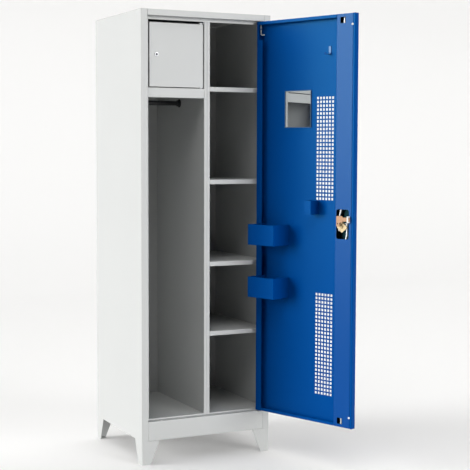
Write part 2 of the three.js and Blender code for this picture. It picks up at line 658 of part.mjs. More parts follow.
function towelHook() {
  const { width, height, sheet, reach, tip, lean } = HOOK;
  const x = HOOK.fromEdge - DOOR_SIDE;
  const foot = HEIGHT - HOOK.drop;
  const y = SKIN + FIT;
  const base = block(x - width / 2, x + width / 2, y, y + sheet, foot, foot + height);
  const armPath = folded([
    [y + sheet / 2, foot + sheet / 2],
    [y + reach - sheet / 2, foot + sheet / 2],
    [y + reach - sheet / 2, foot + tip],
  ], sheet, BEND_RADIUS);
  const arm = alongX(armPath, -width / 2, width / 2)
    .translate(0, -y, 0).rotateZ(-THREE.MathUtils.degToRad(lean)).translate(x, y, 0);
  const behind = block(x - reach, x + reach, y - OVERRUN, y, foot - OVERRUN, foot + height);
  return cut(join(base, arm), behind);
}

place(door, 'mirror_frame', mirrorFrame(), CHROME);
place(door, 'mirror_glass', mirrorGlass(), MIRROR_GLASS);
place(door, 'bottle_holder_lower', openBox(HOLDER, HOLDER.floors[0]), BLUE_PAINT);
place(door, 'bottle_holder_upper', openBox(HOLDER, HOLDER.floors[1]), BLUE_PAINT);
place(door, 'comb_holder', openBox(COMB, COMB.floor), BLUE_PAINT);
place(door, 'towel_hook', towelHook(), BLUE_PAINT);

// Door pivots
function slidingPin() {
  const footShape = rodX(PIVOT_Y, PIN_FOOT, PIVOT_X - PIN.footReach, PIVOT_X, PIN.radius, PIN_STEPS);
  return join(
    footShape,
    rodZ(PIVOT_X, PIVOT_Y, PIN_FOOT - PIN.radius, DOOR_TOP + PIN.above, PIN.radius, PIN_STEPS),
  );
}

function pinGuide() {
  const right = DOOR_SIDE - SHEET - BEND_RADIUS;
  const left = PIVOT_X - PIN.radius - PIN_GUIDE.sheet - FIT;
  const [front, rear] = [SKIN + FIT, DOOR_INNER - SHEET - FIT];
  return cut(
    block(left, right, front, rear, PIN_GUIDE_Z, PIN_GUIDE_Z + PIN_GUIDE.sheet),
    rodZ(PIVOT_X, PIVOT_Y, PIN_GUIDE_Z - OVERRUN, PIN_GUIDE_Z + OVERRUN, PIN.radius + FIT),
  );
}

function pinBush() {
  const { radius, flangeRadius, flange, length } = PIN_BUSH;
  const bore = PIN.radius + FIT;
  const low = HEAD_UNDER - FIT - flange;
  return roundZ([
    [bore, low], [flangeRadius, low], [flangeRadius, low + flange], [radius, low + flange],
    [radius, low + length], [bore, low + length], [bore, low],
  ], PIVOT_X, PIVOT_Y);
}

function lowerPin() {
  const under = SILL - SHEET - FIT;
  const { radius, headRadius, head, above } = LOW_PIN;
  return roundZ([
    [0, under - head], [headRadius, under - head], [headRadius, under], [radius, under],
    [radius, DOOR_BOTTOM + above], [0, DOOR_BOTTOM + above],
  ], PIVOT_X, PIVOT_Y, PIN_STEPS);
}

function pivotWasher() {
  const [low, high] = [SILL + FIT, DOOR_BOTTOM - FIT];
  const bore = LOW_PIN.radius + FIT;
  return roundZ([
    [bore, low], [WASHER.radius, low], [WASHER.radius, high], [bore, high], [bore, low],
  ], PIVOT_X, PIVOT_Y);
}

place(door, 'hinge_pin_upper', slidingPin(), BRIGHT_STEEL);
place(door, 'hinge_pin_guide', pinGuide(), BLUE_PAINT);
place(cabinet, 'hinge_bush_upper', pinBush(), WHITE_NYLON);
place(cabinet, 'hinge_pin_lower', lowerPin(), BRIGHT_STEEL);
place(cabinet, 'hinge_washer_lower', pivotWasher(), WHITE_NYLON);

// Three-point lock: knob, spindle and cam turn together, the cam's pins drive two rods and a bolt
function crankPin(degrees) {
  const angle = THREE.MathUtils.degToRad(degrees);
  return [LOCK_X + LOCK.crank * Math.cos(angle), LOCK.z + LOCK.crank * Math.sin(angle)];
}

const CRANKS = { upperRod: -45, lowerRod: 135, bolt: 45 };

function lockCam() {
  const front = CAM_BACK + CAM.sheet;
  const plate = alongY(roundedCorners([
    [LOCK_X - CAM.width / 2, LOCK.z],
    [LOCK_X, LOCK.z - CAM.height / 2],
    [LOCK_X + CAM.width / 2, LOCK.z],
    [LOCK_X, LOCK.z + CAM.height / 2],
  ], CAM.corner), CAM_BACK, front);
  const pin = (degrees, y0, y1) => rodY(...crankPin(degrees), y0, y1, CAM.pinRadius, PIN_STEPS);
  const side = SPINDLE.side / 2 + FIT;
  return cut(
    join(
      plate,
      pin(CRANKS.upperRod, CAM_BACK - CAM.rodPin, front - CAM.sheet / 2),
      pin(CRANKS.lowerRod, CAM_BACK - CAM.rodPin, front - CAM.sheet / 2),
      pin(CRANKS.bolt, CAM_BACK + CAM.sheet / 2, front + CAM.boltPin),
    ),
    block(LOCK_X - side, LOCK_X + side, CAM_BACK - OVERRUN, front + OVERRUN, LOCK.z - side, LOCK.z + side),
  );
}

function lockSpindle() {
  const side = SPINDLE.side / 2;
  const front = CAM_BACK + CAM.sheet;
  const knobBack = FRONT - FIT - ESCUTCHEON.depth - FIT;
  return cut(
    block(LOCK_X - side, LOCK_X + side, knobBack - KNOB.pocket + FIT, front, LOCK.z - side, LOCK.z + side),
    rodY(LOCK_X, LOCK.z, front - CAM_SCREW.length - FIT, front + OVERRUN, SPINDLE.bore, PIN_STEPS),
  );
}

function camScrew() {
  const seat = CAM_BACK + CAM.sheet + FIT;
  const { headRadius, head, radius, length, slot, slotDepth } = CAM_SCREW;
  return cut(
    join(
      rodY(LOCK_X, LOCK.z, seat, seat + head, headRadius),
      rodY(LOCK_X, LOCK.z, seat - length, seat + head / 2, radius, PIN_STEPS),
    ),
    block(LOCK_X - headRadius - OVERRUN, LOCK_X + headRadius + OVERRUN,
      seat + head - slotDepth, seat + head + OVERRUN, LOCK.z - slot / 2, LOCK.z + slot / 2),
  );
}

// A rod runs straight up or down the channel, sweeps aside past the spindle and ends in a fork
function lockRod(way, degrees) {
  const [pinX, pinZ] = crankPin(degrees);
  const end = way > 0 ? DOOR_TOP + ROD.past : DOOR_BOTTOM - ROD.past;
  const rodX0 = LOCK_X + way * ROD.offset;
  const slotHalf = CAM.pinRadius + FORK.play;
  const plateHalf = slotHalf + FORK.finger;
  const corners = [
    [rodX0, pinZ - way * plateHalf],
    [rodX0, pinZ + way * ROD.straight],
    [LOCK_X, pinZ + way * (ROD.straight + ROD.sweep)],
    [LOCK_X, end],
  ].map(([x, z]) => new THREE.Vector3(x, ROD_Y, z));
  const lengths = corners.slice(1).map((corner, i) => corner.distanceTo(corners[i]));
  const limbs = lengths.map((length, i) => {
    const low = corners[i].z < corners[i + 1].z ? corners[i] : corners[i + 1];
    const high = corners[i].z < corners[i + 1].z ? corners[i + 1] : corners[i];
    const lean = Math.atan2(high.x - low.x, high.z - low.z);
    return rodZ(0, 0, 0, length, ROD.radius, PIN_STEPS).rotateY(lean).translate(low.x, low.y, low.z);
  });
  const knuckles = [corners[1], corners[2]].map((corner) =>
    new THREE.SphereGeometry(ROD.radius, PIN_STEPS, PIN_STEPS / 2).translate(corner.x, corner.y, corner.z));
  const ends = [rodX0 - way * FORK.reach, rodX0 + way * FORK.root].sort((a, b) => a - b);
  const slotEnd = LOCK_X + way * (LOCK.crank + CAM.pinRadius + FORK.play);
  const slot = [slotEnd, rodX0 - way * (FORK.reach + OVERRUN)].sort((a, b) => a - b);
  const [y0, y1] = [ROD_Y - FORK.sheet / 2, ROD_Y + FORK.sheet / 2];
  const slotCut = block(...slot, ROD_Y - ROD.radius - OVERRUN, ROD_Y + ROD.radius + OVERRUN,
    pinZ - slotHalf, pinZ + slotHalf);
  const plate = block(...ends, y0, y1, pinZ - plateHalf, pinZ + plateHalf);
  return cut(join(...limbs, ...knuckles, plate), slotCut);
}

// The bolt's head carries the tongue that leaves the door and the tail that the cam's pin drives
function centreBolt() {
  const { sheet, above, tongue, head, tail, corner } = BOLT;
  const y = BOLT_Y;
  const tip = BOLT.tipFromEdge - DOOR_SIDE;
  const headEnd = LOCK_X - BOLT.headPastLock;
  const [pinX, pinZ] = crankPin(CRANKS.bolt);
  const middle = LOCK.z + above;
  const play = CAM.pinRadius + FORK.play;
  const bar = alongY(roundedCorners([
    [tip, middle - tongue / 2],
    [headEnd, middle - tongue / 2],
    [headEnd, middle - head / 2],
    [pinX - tail / 2, middle - head / 2],
    [pinX - tail / 2, pinZ - play - FORK.finger],
    [pinX + tail / 2, pinZ - play - FORK.finger],
    [pinX + tail / 2, middle + head / 2],
    [headEnd, middle + head / 2],
    [headEnd, middle + tongue / 2],
    [tip, middle + tongue / 2],
  ], corner), y, y + sheet);
  return cut(bar, block(pinX - play, pinX + play, y - OVERRUN, y + sheet + OVERRUN,
    pinZ - play, LOCK.z + LOCK.crank + play));
}

function boltGuide() {
  const { width, wall, top } = BOLT_GUIDE;
  const x = BOLT_GUIDE.fromEdge - DOOR_SIDE;
  const middle = LOCK.z + BOLT.above;
  const inside = BOLT.tongue / 2 + FIT;
  const outside = inside + wall;
  const under = BOLT_Y - FIT;
  const over = BOLT_Y + BOLT.sheet + FIT;
  return cut(
    block(x, x + width, DOOR_INNER + FIT, over + top, middle - outside, middle + outside),
    block(x - OVERRUN, x + width + OVERRUN, under, over, middle - inside, middle + inside),
  );
}

function rodGuide(z) {
  const { width, height } = ROD_GUIDE;
  return cut(
    block(LOCK_X - width / 2, LOCK_X + width / 2, SKIN + FIT, DOOR_INNER - SHEET - FIT, z, z + height),
    rodZ(LOCK_X, ROD_Y, z - OVERRUN, z + height + OVERRUN, ROD.radius + FIT),
  );
}

function escutcheon() {
  const { radius, depth, tubeRadius, tube, bore } = ESCUTCHEON;
  const seat = FRONT - FIT;
  return cut(
    join(
      rodY(LOCK_X, LOCK.z, seat - depth, seat, radius),
      rodY(LOCK_X, LOCK.z, seat - depth / 2, seat - depth + tube + depth, tubeRadius),
    ),
    rodY(LOCK_X, LOCK.z, seat - depth - OVERRUN, seat + tube + OVERRUN, bore),
  );
}

function lockNut() {
  const seat = SKIN + FIT;
  const radius = LOCK_NUT.across / Math.sqrt(3);
  return cut(
    rodY(LOCK_X, LOCK.z, seat, seat + LOCK_NUT.depth, radius, HEX_SIDES),
    rodY(LOCK_X, LOCK.z, seat - OVERRUN, seat + LOCK_NUT.depth + OVERRUN, ESCUTCHEON.tubeRadius + FIT),
  );
}

function lockKnob() {
  const back = FRONT - FIT - ESCUTCHEON.depth - FIT;
  const face = back - KNOB.base;
  const tip = face - KNOB.gripDepth;
  const half = SPINDLE.side / 2 + FIT;
  const [w, g] = [KNOB.gripWidth / 2, KNOB.grip / 2];
  return cut(
    join(
      rodY(LOCK_X, LOCK.z, face, back, KNOB.radius),
      alongY(roundedRect(LOCK_X - w, LOCK_X + w, LOCK.z - g, LOCK.z + g, w), tip, face + KNOB.base / 2),
    ),
    rodY(LOCK_X, LOCK.z, tip - OVERRUN, tip + CYLINDER.depth, CYLINDER.radius + FIT),
    block(LOCK_X - half, LOCK_X + half, back - KNOB.pocket, back + OVERRUN, LOCK.z - half, LOCK.z + half),
  );
}

function keyCylinder(x, z, tip, depth, radius) {
  return cut(
    rodY(x, z, tip, tip + depth, radius),
    block(x - KEYWAY.width / 2, x + KEYWAY.width / 2, tip - OVERRUN, tip + KEYWAY.depth,
      z - KEYWAY.height / 2, z + KEYWAY.height / 2),
  );
}

const KNOB_TIP = FRONT - FIT - ESCUTCHEON.depth - FIT - KNOB.base - KNOB.gripDepth;
place(door, 'lock_escutcheon', escutcheon(), BRIGHT_STEEL);
place(door, 'lock_nut', lockNut(), BRIGHT_STEEL);
place(door, 'lock_knob', lockKnob(), BLACK_PLASTIC);
place(door, 'lock_key_cylinder', keyCylinder(LOCK_X, LOCK.z, KNOB_TIP - CYLINDER.proud,
  CYLINDER.depth + CYLINDER.proud - FIT, CYLINDER.radius), CHROME);
place(door, 'lock_spindle', lockSpindle(), BRIGHT_STEEL);
place(door, 'lock_cam', lockCam(), YELLOW_ZINC);
place(door, 'lock_cam_screw', camScrew(), BRIGHT_STEEL);
place(door, 'lock_rod_upper', lockRod(1, CRANKS.upperRod), BRIGHT_STEEL);
place(door, 'lock_rod_lower', lockRod(-1, CRANKS.lowerRod), BRIGHT_STEEL);
place(door, 'lock_centre_bolt', centreBolt(), BRONZE_ZINC);
place(door, 'centre_bolt_guide', boltGuide(), WHITE_NYLON);
place(door, 'rod_guide_upper', rodGuide(DOOR_TOP - ROD_GUIDE.fromEnd), WHITE_NYLON);
place(door, 'rod_guide_lower', rodGuide(DOOR_BOTTOM + ROD_GUIDE.fromEnd), WHITE_NYLON);

// Compartment door, its pivots and its cam lock
const SMALL_X = SMALL_RIGHT - SMALL_PIVOT.fromEdge;
const SMALL_Y = SMALL_FACE + SMALL_PIVOT.fromFace;

function compartmentDoor() {
  const panel = pan({
    left: SMALL_LEFT, right: SMALL_RIGHT, bottom: SMALL_BOTTOM, top: SMALL_TOP, face: SMALL_FACE,
    depth: SMALL.depth, leftLip: SMALL.lip, rightLip: SMALL.lip, endLip: SMALL.lip,
  });
  const pinHole = (z) => rodZ(SMALL_X, SMALL_Y, z - OVERRUN, z + OVERRUN, SMALL_PIVOT.radius + FIT);
  return cut(
    panel,
    pinHole(SMALL_TOP),
    pinHole(SMALL_BOTTOM),
    rodY(SMALL_LOCK_X, SMALL_LOCK_Z, SMALL_FACE - OVERRUN, SMALL_FACE + OVERRUN,
      SMALL_LOCK.bodyRadius + FIT),
  );
}

function compartmentLowerPin() {
  const { radius, collarRadius, into, below } = SMALL_PIVOT;
  const [seat, edge] = [COMPARTMENT_FLOOR + FIT, SMALL_BOTTOM - FIT];
  return roundZ([
    [0, seat - below], [radius, seat - below], [radius, seat], [collarRadius, seat], [collarRadius, edge],
    [radius, edge], [radius, edge + into], [0, edge + into],
  ], SMALL_X, SMALL_Y, PIN_STEPS);
}

const BRACKET_LOW = SMALL_TOP + SMALL_BRACKET.gap;

function compartmentUpperPin() {
  const { radius, collarRadius, into } = SMALL_PIVOT;
  const seat = BRACKET_LOW + SMALL_BRACKET.sheet + FIT;
  return roundZ([
    [0, SMALL_TOP - into], [radius, SMALL_TOP - into], [radius, seat], [collarRadius, seat],
    [collarRadius, seat + SMALL_BRACKET.sheet], [0, seat + SMALL_BRACKET.sheet],
  ], SMALL_X, SMALL_Y, PIN_STEPS);
}

function compartmentBracket() {
  const { sheet, reach, depth, drop } = SMALL_BRACKET;
  const wall = PARTITION_LEFT - FIT;
  const mid = sheet / 2;
  const outline = folded([
    [wall - reach, BRACKET_LOW + mid],
    [wall - mid, BRACKET_LOW + mid],
    [wall - mid, BRACKET_LOW + drop],
  ], sheet, mid);
  return cut(
    alongY(outline, SMALL_FACE, SMALL_FACE + depth),
    rodZ(SMALL_X, SMALL_Y, BRACKET_LOW - OVERRUN, BRACKET_LOW + OVERRUN, SMALL_PIVOT.radius + FIT),
  );
}

function compartmentLockBody() {
  const { headRadius, head, bodyRadius, body, plugRadius } = SMALL_LOCK;
  const [x, z] = [SMALL_LOCK_X, SMALL_LOCK_Z];
  const seat = SMALL_FACE - FIT;
  return cut(
    join(
      rodY(x, z, seat - head, seat, headRadius),
      rodY(x, z, seat - head / 2, seat + body, bodyRadius),
    ),
    rodY(x, z, seat - head - OVERRUN, seat + body + OVERRUN, plugRadius + FIT),
  );
}

function compartmentLockNut() {
  const { nutAcross, nut, bodyRadius } = SMALL_LOCK;
  const [x, z] = [SMALL_LOCK_X, SMALL_LOCK_Z];
  const seat = SMALL_FACE + SHEET + FIT;
  return cut(
    rodY(x, z, seat, seat + nut, nutAcross / Math.sqrt(3), HEX_SIDES),
    rodY(x, z, seat - OVERRUN, seat + nut + OVERRUN, bodyRadius + FIT),
  );
}

function compartmentPlug() {
  const { head, plugRadius } = SMALL_LOCK;
  const [x, z] = [SMALL_LOCK_X, SMALL_LOCK_Z];
  const front = SMALL_FACE - FIT - head;
  const { sheet, hubRadius } = SMALL_CAM;
  const y = SMALL_CAM_Y;
  return join(
    keyCylinder(x, z, front, y - FIT - front, plugRadius),
    rodY(x, z, y - OVERRUN, y + sheet, hubRadius, PIN_STEPS),
  );
}

function compartmentCam() {
  const [x, z] = [SMALL_LOCK_X, SMALL_LOCK_Z];
  const { width, reach, sheet, hubRadius } = SMALL_CAM;
  const y = SMALL_CAM_Y;
  const half = width / 2;
  return cut(
    alongY(roundedRect(x - half, x + half, z - half, z + reach, half / 2), y, y + sheet),
    rodY(x, z, y - OVERRUN, y + sheet + OVERRUN, hubRadius + FIT, PIN_STEPS),
  );
}

function compartmentCamScrew() {
  const [x, z] = [SMALL_LOCK_X, SMALL_LOCK_Z];
  const { sheet, screwRadius, screw } = SMALL_CAM;
  const y = SMALL_CAM_Y;
  const seat = y + sheet + FIT;
  return cut(
    rodY(x, z, seat, seat + screw, screwRadius, PIN_STEPS),
    block(x - screwRadius - OVERRUN, x + screwRadius + OVERRUN, seat + screw - CAM_SCREW.slotDepth,
      seat + screw + OVERRUN, z - CAM_SCREW.slot / 2, z + CAM_SCREW.slot / 2),
  );
}

function strikePlate() {
  const { height, sheet, foot, gap, reach } = STRIKE;
  const mid = sheet / 2;
  const wall = -INNER + FIT;
  const arm = SMALL_CAM_Y - gap - mid;
  const outline = folded([
    [wall + mid, arm + foot],
    [wall + mid, arm],
    [wall + reach, arm],
  ], sheet, mid);
  return upright(outline, SMALL_LOCK_Z - height / 2, SMALL_LOCK_Z + height / 2);
}

place(cabinet, 'compartment_door', compartmentDoor(), GREY_PAINT);
place(cabinet, 'compartment_pin_lower', compartmentLowerPin(), BRIGHT_STEEL);
place(cabinet, 'compartment_pin_upper', compartmentUpperPin(), BRIGHT_STEEL);
place(cabinet, 'compartment_hinge_bracket', compartmentBracket(), GREY_PAINT);
place(cabinet, 'compartment_lock_body', compartmentLockBody(), CHROME);
place(cabinet, 'compartment_lock_nut', compartmentLockNut(), BRIGHT_STEEL);
place(cabinet, 'compartment_lock_plug', compartmentPlug(), CHROME);
place(cabinet, 'compartment_lock_cam', compartmentCam(), BRIGHT_STEEL);
place(cabinet, 'compartment_cam_screw', compartmentCamScrew(), BRIGHT_STEEL);
place(cabinet, 'compartment_strike', strikePlate(), BRIGHT_STEEL);

// The origin is on the floor, under the middle of the whole object with its door open
locker.updateMatrixWorld(true);
const middle = new THREE.Box3().setFromObject(locker, true).getCenter(new THREE.Vector3());
locker.position.set(-middle.x, -middle.y, 0);
locker.updateMatrixWorld(true);

export default locker;
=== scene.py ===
import json
import math

import bpy
from mathutils import Matrix, Vector


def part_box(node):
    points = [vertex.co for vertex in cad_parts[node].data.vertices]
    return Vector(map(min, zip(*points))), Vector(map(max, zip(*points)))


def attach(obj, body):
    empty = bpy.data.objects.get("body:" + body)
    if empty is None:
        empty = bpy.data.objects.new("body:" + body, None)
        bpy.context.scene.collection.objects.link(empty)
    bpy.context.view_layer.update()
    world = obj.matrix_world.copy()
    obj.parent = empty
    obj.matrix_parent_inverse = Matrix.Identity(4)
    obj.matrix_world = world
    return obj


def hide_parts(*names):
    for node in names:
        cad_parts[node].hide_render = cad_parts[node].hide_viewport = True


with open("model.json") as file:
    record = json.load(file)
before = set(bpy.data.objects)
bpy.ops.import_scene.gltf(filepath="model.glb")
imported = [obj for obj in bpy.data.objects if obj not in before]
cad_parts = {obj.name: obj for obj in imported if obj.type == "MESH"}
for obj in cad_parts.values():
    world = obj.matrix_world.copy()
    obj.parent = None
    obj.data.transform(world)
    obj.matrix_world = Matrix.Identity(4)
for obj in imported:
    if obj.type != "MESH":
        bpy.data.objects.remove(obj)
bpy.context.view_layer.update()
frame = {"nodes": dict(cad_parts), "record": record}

bl_info = {
    "name": "Clothes Locker",
    "version": (1, 0, 0),
    "blender": (4, 5, 0),
    "location": "View3D > Sidebar > Locker",
    "description": "Finishes a steel clothes locker round its construction model",
    "category": "Object",
}

# Measures and turns, in metres and radians
MM = 0.001
SHEET = 0.8 * MM
MERGE_GAP = 0.01 * MM
OVERRUN = 1 * MM
SMOOTH_ANGLE = math.radians(40)
EDGE_ANGLE = math.radians(35)
FLAT_ANGLE = math.radians(0.5)
STRAIGHT = 0.9
ROUND_SIDES = 48
SMALL_SIDES = 32
HEXAGON = 6

# Ways on the locker, with its doors shut
RIGHTWARD, INWARD, OUTWARD = (1, 0, 0), (0, 1, 0), (0, -1, 0)
UPWARD, DOWNWARD = (0, 0, 1), (0, 0, -1)

# The camera that took the reference view, relative to the foot of the cabinet's middle
CAMERA_PLACE = Vector((-2.12197, -4.85384, 1.32464))
CAMERA_YAW = math.radians(26.209)
CAMERA_PITCH = math.radians(-4.107)
CAMERA_ROLL = math.radians(0.164)
CAMERA_LENS = 91.17
SENSOR_WIDTH = 36.0

# Places taken from the frame
JOINTS = {joint["name"]: joint for joint in frame["record"]["behaviour"]["joints"]}
SLOTS = {part["node"]: part["material_slot"] for part in frame["record"]["subparts"]}
BODIES = {node: body for body, nodes in frame["record"]["behaviour"]["bodies"].items() for node in nodes}
CABINET_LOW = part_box("left_side_panel")[0]
CABINET_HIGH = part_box("right_side_panel")[1]
CABINET_FOOT = Vector(((CABINET_LOW[0] + CABINET_HIGH[0]) / 2, (CABINET_LOW[1] + CABINET_HIGH[1]) / 2, 0))
DOOR_PIVOT = Vector(JOINTS["main_door_hinge"]["pos_m"])
DOOR_TURN = math.radians(-JOINTS["main_door_hinge"]["range_deg"][0])
DOOR_BODIES = {"main_door", "hinge_pin", "main_lock", "main_key", "upper_rod", "lower_rod", "centre_bolt"}
SWING = (
    Matrix.Translation(DOOR_PIVOT) @ Matrix.Rotation(DOOR_TURN, 4, "Z") @ Matrix.Translation(-DOOR_PIVOT)
)

# Profiles of the turned pieces, each ring as shares of the radius and of the length
BUMPER_SHARES = ((0.44, 0.0), (0.44, 0.36), (0.94, 0.37), (1.0, 0.42), (1.0, 0.68), (0.9, 0.84),
                 (0.66, 0.95), (0.3, 1.0))
ESCUTCHEON_SHARES = ((0.9, 0.0), (0.97, 0.03), (1.0, 0.1), (1.0, 0.26), (0.346, 0.27), (0.346, 1.0))
SCREW_SHARES = ((1.0, 0.0), (1.0, 0.45), (0.93, 0.72), (0.75, 0.92), (0.45, 1.0))
CYLINDER_SHARES = ((0.9, 0.0), (0.98, 0.03), (1.0, 0.08), (1.0, 1.0))
LOCK_HEAD_SHARES = ((0.81, 0.0), (0.82, 0.004), (0.98, 0.12), (1.0, 0.135), (1.0, 0.15), (0.842, 0.155),
                    (0.842, 1.0))
PLUG_SHARES = ((0.93, 0.0), (1.0, 0.02), (1.0, 1.0))
SOCKET_SHARES = ((0.95, 0.0), (1.0, 0.05), (1.0, 0.2), (0.97, 0.25), (0.78, 0.27), (0.75, 0.33),
                 (0.75, 0.95), (0.72, 1.0))
BUSH_SHARES = ((0.93, 0.0), (1.0, 0.04), (1.0, 0.15), (0.846, 0.16), (0.846, 0.95), (0.78, 1.0))
WASHER_SHARES = ((0.96, 0.0), (1.0, 0.1), (1.0, 0.9), (0.96, 1.0))
HEADED_PIN_SHARES = ((0.86, 0.0), (1.0, 0.03), (1.0, 0.1), (0.6, 0.105), (0.6, 0.96), (0.48, 1.0))

# Grains of the finishes: how many lie in a metre, and how many finer layers each carries
COAT_CLOUD, COAT_GRAIN, COAT_PATCHES = (2.5, 3.0), (700.0, 2.0), (14.0, 1.0)
COAT_RIPPLE, COAT_FINE_RIPPLE = (330.0, 2.0), (1100.0, 1.0)
PLATE_CLOUD, PLATE_LINES = (120.0, 4.0), (900.0, 3.0)
MOULD_FLOW, MOULD_PITS = (25.0, 3.0), (2200.0, 2.0)
GLASS_WIPES = (18.0, 5.0)
CHROME_MARKS = (700.0, 4.0)
PAPER_GRAIN = (60.0, 3.0)

# How far each grain is drawn out: the lower a number, the longer the grain along that axis
DOWN_LINES = (1, 1, 0.08)
ROLLED_LINES = (0.1, 0.1, 1)
WIPED_LINES = (1, 1, 4)
HAIRLINES = (1, 1, 0.05)

# Tones that a colour wavers between, and how far the roughness wavers
COAT_TONES, MOULD_TONES = (0.96, 1.04), (0.9, 1.12)
CHROME_TONES, PAPER_TONES = (0.93, 1.0), (0.995, 1.005)
COAT_WAVER, PLATE_WAVER, MOULD_WAVER, GLASS_WAVER, CHROME_WAVER = 0.02, 0.16, 0.12, 0.03, 0.09

# Shares, depths and colours of the finishes
COAT_CLOUD_SHARE = 0.6
COAT_FINE_SHARE = 0.35
COAT_LOST_LIGHT = 0.35
COAT_INDEX, MOULD_INDEX = 1.5, 1.46
STREAK_SHARE, STREAK_TONE = 0.3, 0.7
PLATE_CLOUD_HEIGHT = 0.5
PLATE_DEPTH, PLATE_RELIEF = 0.02 * MM, 0.6
MOULD_DEPTH = 0.05 * MM
BLACK = (0, 0, 0, 1)
# Near black painted into the lock channel's hollow: painted shade
HOLLOW_PAINTED_SHADE = (0.006, 0.007, 0.009, 1.0)
SILVER_TONES = (0.76, 0.79, 0.80, 1), (0.80, 0.82, 0.83, 1)
SILVER_ROUGHNESS = 0.012
MIRROR_TURN = math.radians(-3)


# Settings that a user may change
class PaintSettings(bpy.types.PropertyGroup):
    """Colours and surface of the powder coats."""

    grey: bpy.props.FloatVectorProperty(
        name="Cabinet grey", description="Colour of the cabinet's coat", subtype="COLOR", size=3,
        default=(0.617, 0.628, 0.618), min=0, max=1)
    blue: bpy.props.FloatVectorProperty(
        name="Door blue", description="Colour of the door's coat", subtype="COLOR", size=3,
        default=(0.0, 0.064, 0.305), min=0, max=1)
    peel: bpy.props.FloatProperty(
        name="Orange peel", description="Height of the ripple in the coats", unit="LENGTH",
        default=0.12 * MM, min=0)


class MetalSettings(bpy.types.PropertyGroup):
    """Colours of the plated pieces."""

    zinc: bpy.props.FloatVectorProperty(
        name="Bright zinc", description="Colour of the bright plating", subtype="COLOR", size=3,
        default=(0.90, 0.92, 0.94), min=0, max=1)
    yellow: bpy.props.FloatVectorProperty(
        name="Yellow zinc", description="Colour of the yellow plating", subtype="COLOR", size=3,
        default=(0.70, 0.57, 0.32), min=0, max=1)
    copper: bpy.props.FloatVectorProperty(
        name="Copper tint", description="Colour of the copper tinted plating", subtype="COLOR", size=3,
        default=(0.38, 0.19, 0.09), min=0, max=1)


class EdgeSettings(bpy.types.PropertyGroup):
    """Rounding of the edges."""

    sheet: bpy.props.FloatProperty(
        name="Sheet edge", description="Rounding of a cut sheet's edge", unit="LENGTH",
        default=0.2 * MM, min=0)
    plate: bpy.props.FloatProperty(
        name="Plate edge", description="Rounding of a thick plate's edge", unit="LENGTH",
        default=0.5 * MM, min=0)
    moulded: bpy.props.FloatProperty(
        name="Moulded edge", description="Rounding of a moulded piece's edge", unit="LENGTH",
        default=0.8 * MM, min=0)


class StageSettings(bpy.types.PropertyGroup):
    """Light and floor of the studio."""

    side: bpy.props.FloatProperty(
        name="Side light", description="Strength of the broad lamp on the left", default=3.15, min=0)
    key: bpy.props.FloatProperty(
        name="Key light", description="Strength of the broad lamp at the front right", default=2.08, min=0)
    fill: bpy.props.FloatProperty(
        name="Fill light", description="Strength of the high lamp in front", default=0.85, min=0)
    back: bpy.props.FloatProperty(
        name="Back light", description="Strength of the high lamp behind", default=1.15, min=0)
    right: bpy.props.FloatProperty(
        name="Right light", description="Strength of the broad lamp on the right", default=0.9, min=0)
    air: bpy.props.FloatProperty(
        name="Air", description="Light that comes from all round", default=0.0, min=0)
    floor: bpy.props.FloatVectorProperty(
        name="Floor", description="Colour of the floor and the backdrop", subtype="COLOR", size=3,
        default=(0.93, 0.925, 0.915), min=0, max=1)


# Shader maths written as sums
class Amount:
    """One value in a finish; a sum on it adds the nodes that work it out."""

    def __init__(self, recipe, socket):
        self.recipe = recipe
        self.socket = socket

    def _sum(self, operation, first, second):
        return self.recipe.node("ShaderNodeMath", {"operation": operation}, {0: first, 1: second})

    def __add__(self, other):
        return self._sum("ADD", self, other)

    def __radd__(self, other):
        return self._sum("ADD", other, self)

    def __sub__(self, other):
        return self._sum("SUBTRACT", self, other)

    def __rsub__(self, other):
        return self._sum("SUBTRACT", other, self)

    def __mul__(self, other):
        return self._sum("MULTIPLY", self, other)

    def __rmul__(self, other):
        return self._sum("MULTIPLY", other, self)

    def __gt__(self, other):
        return self._sum("GREATER_THAN", self, other)


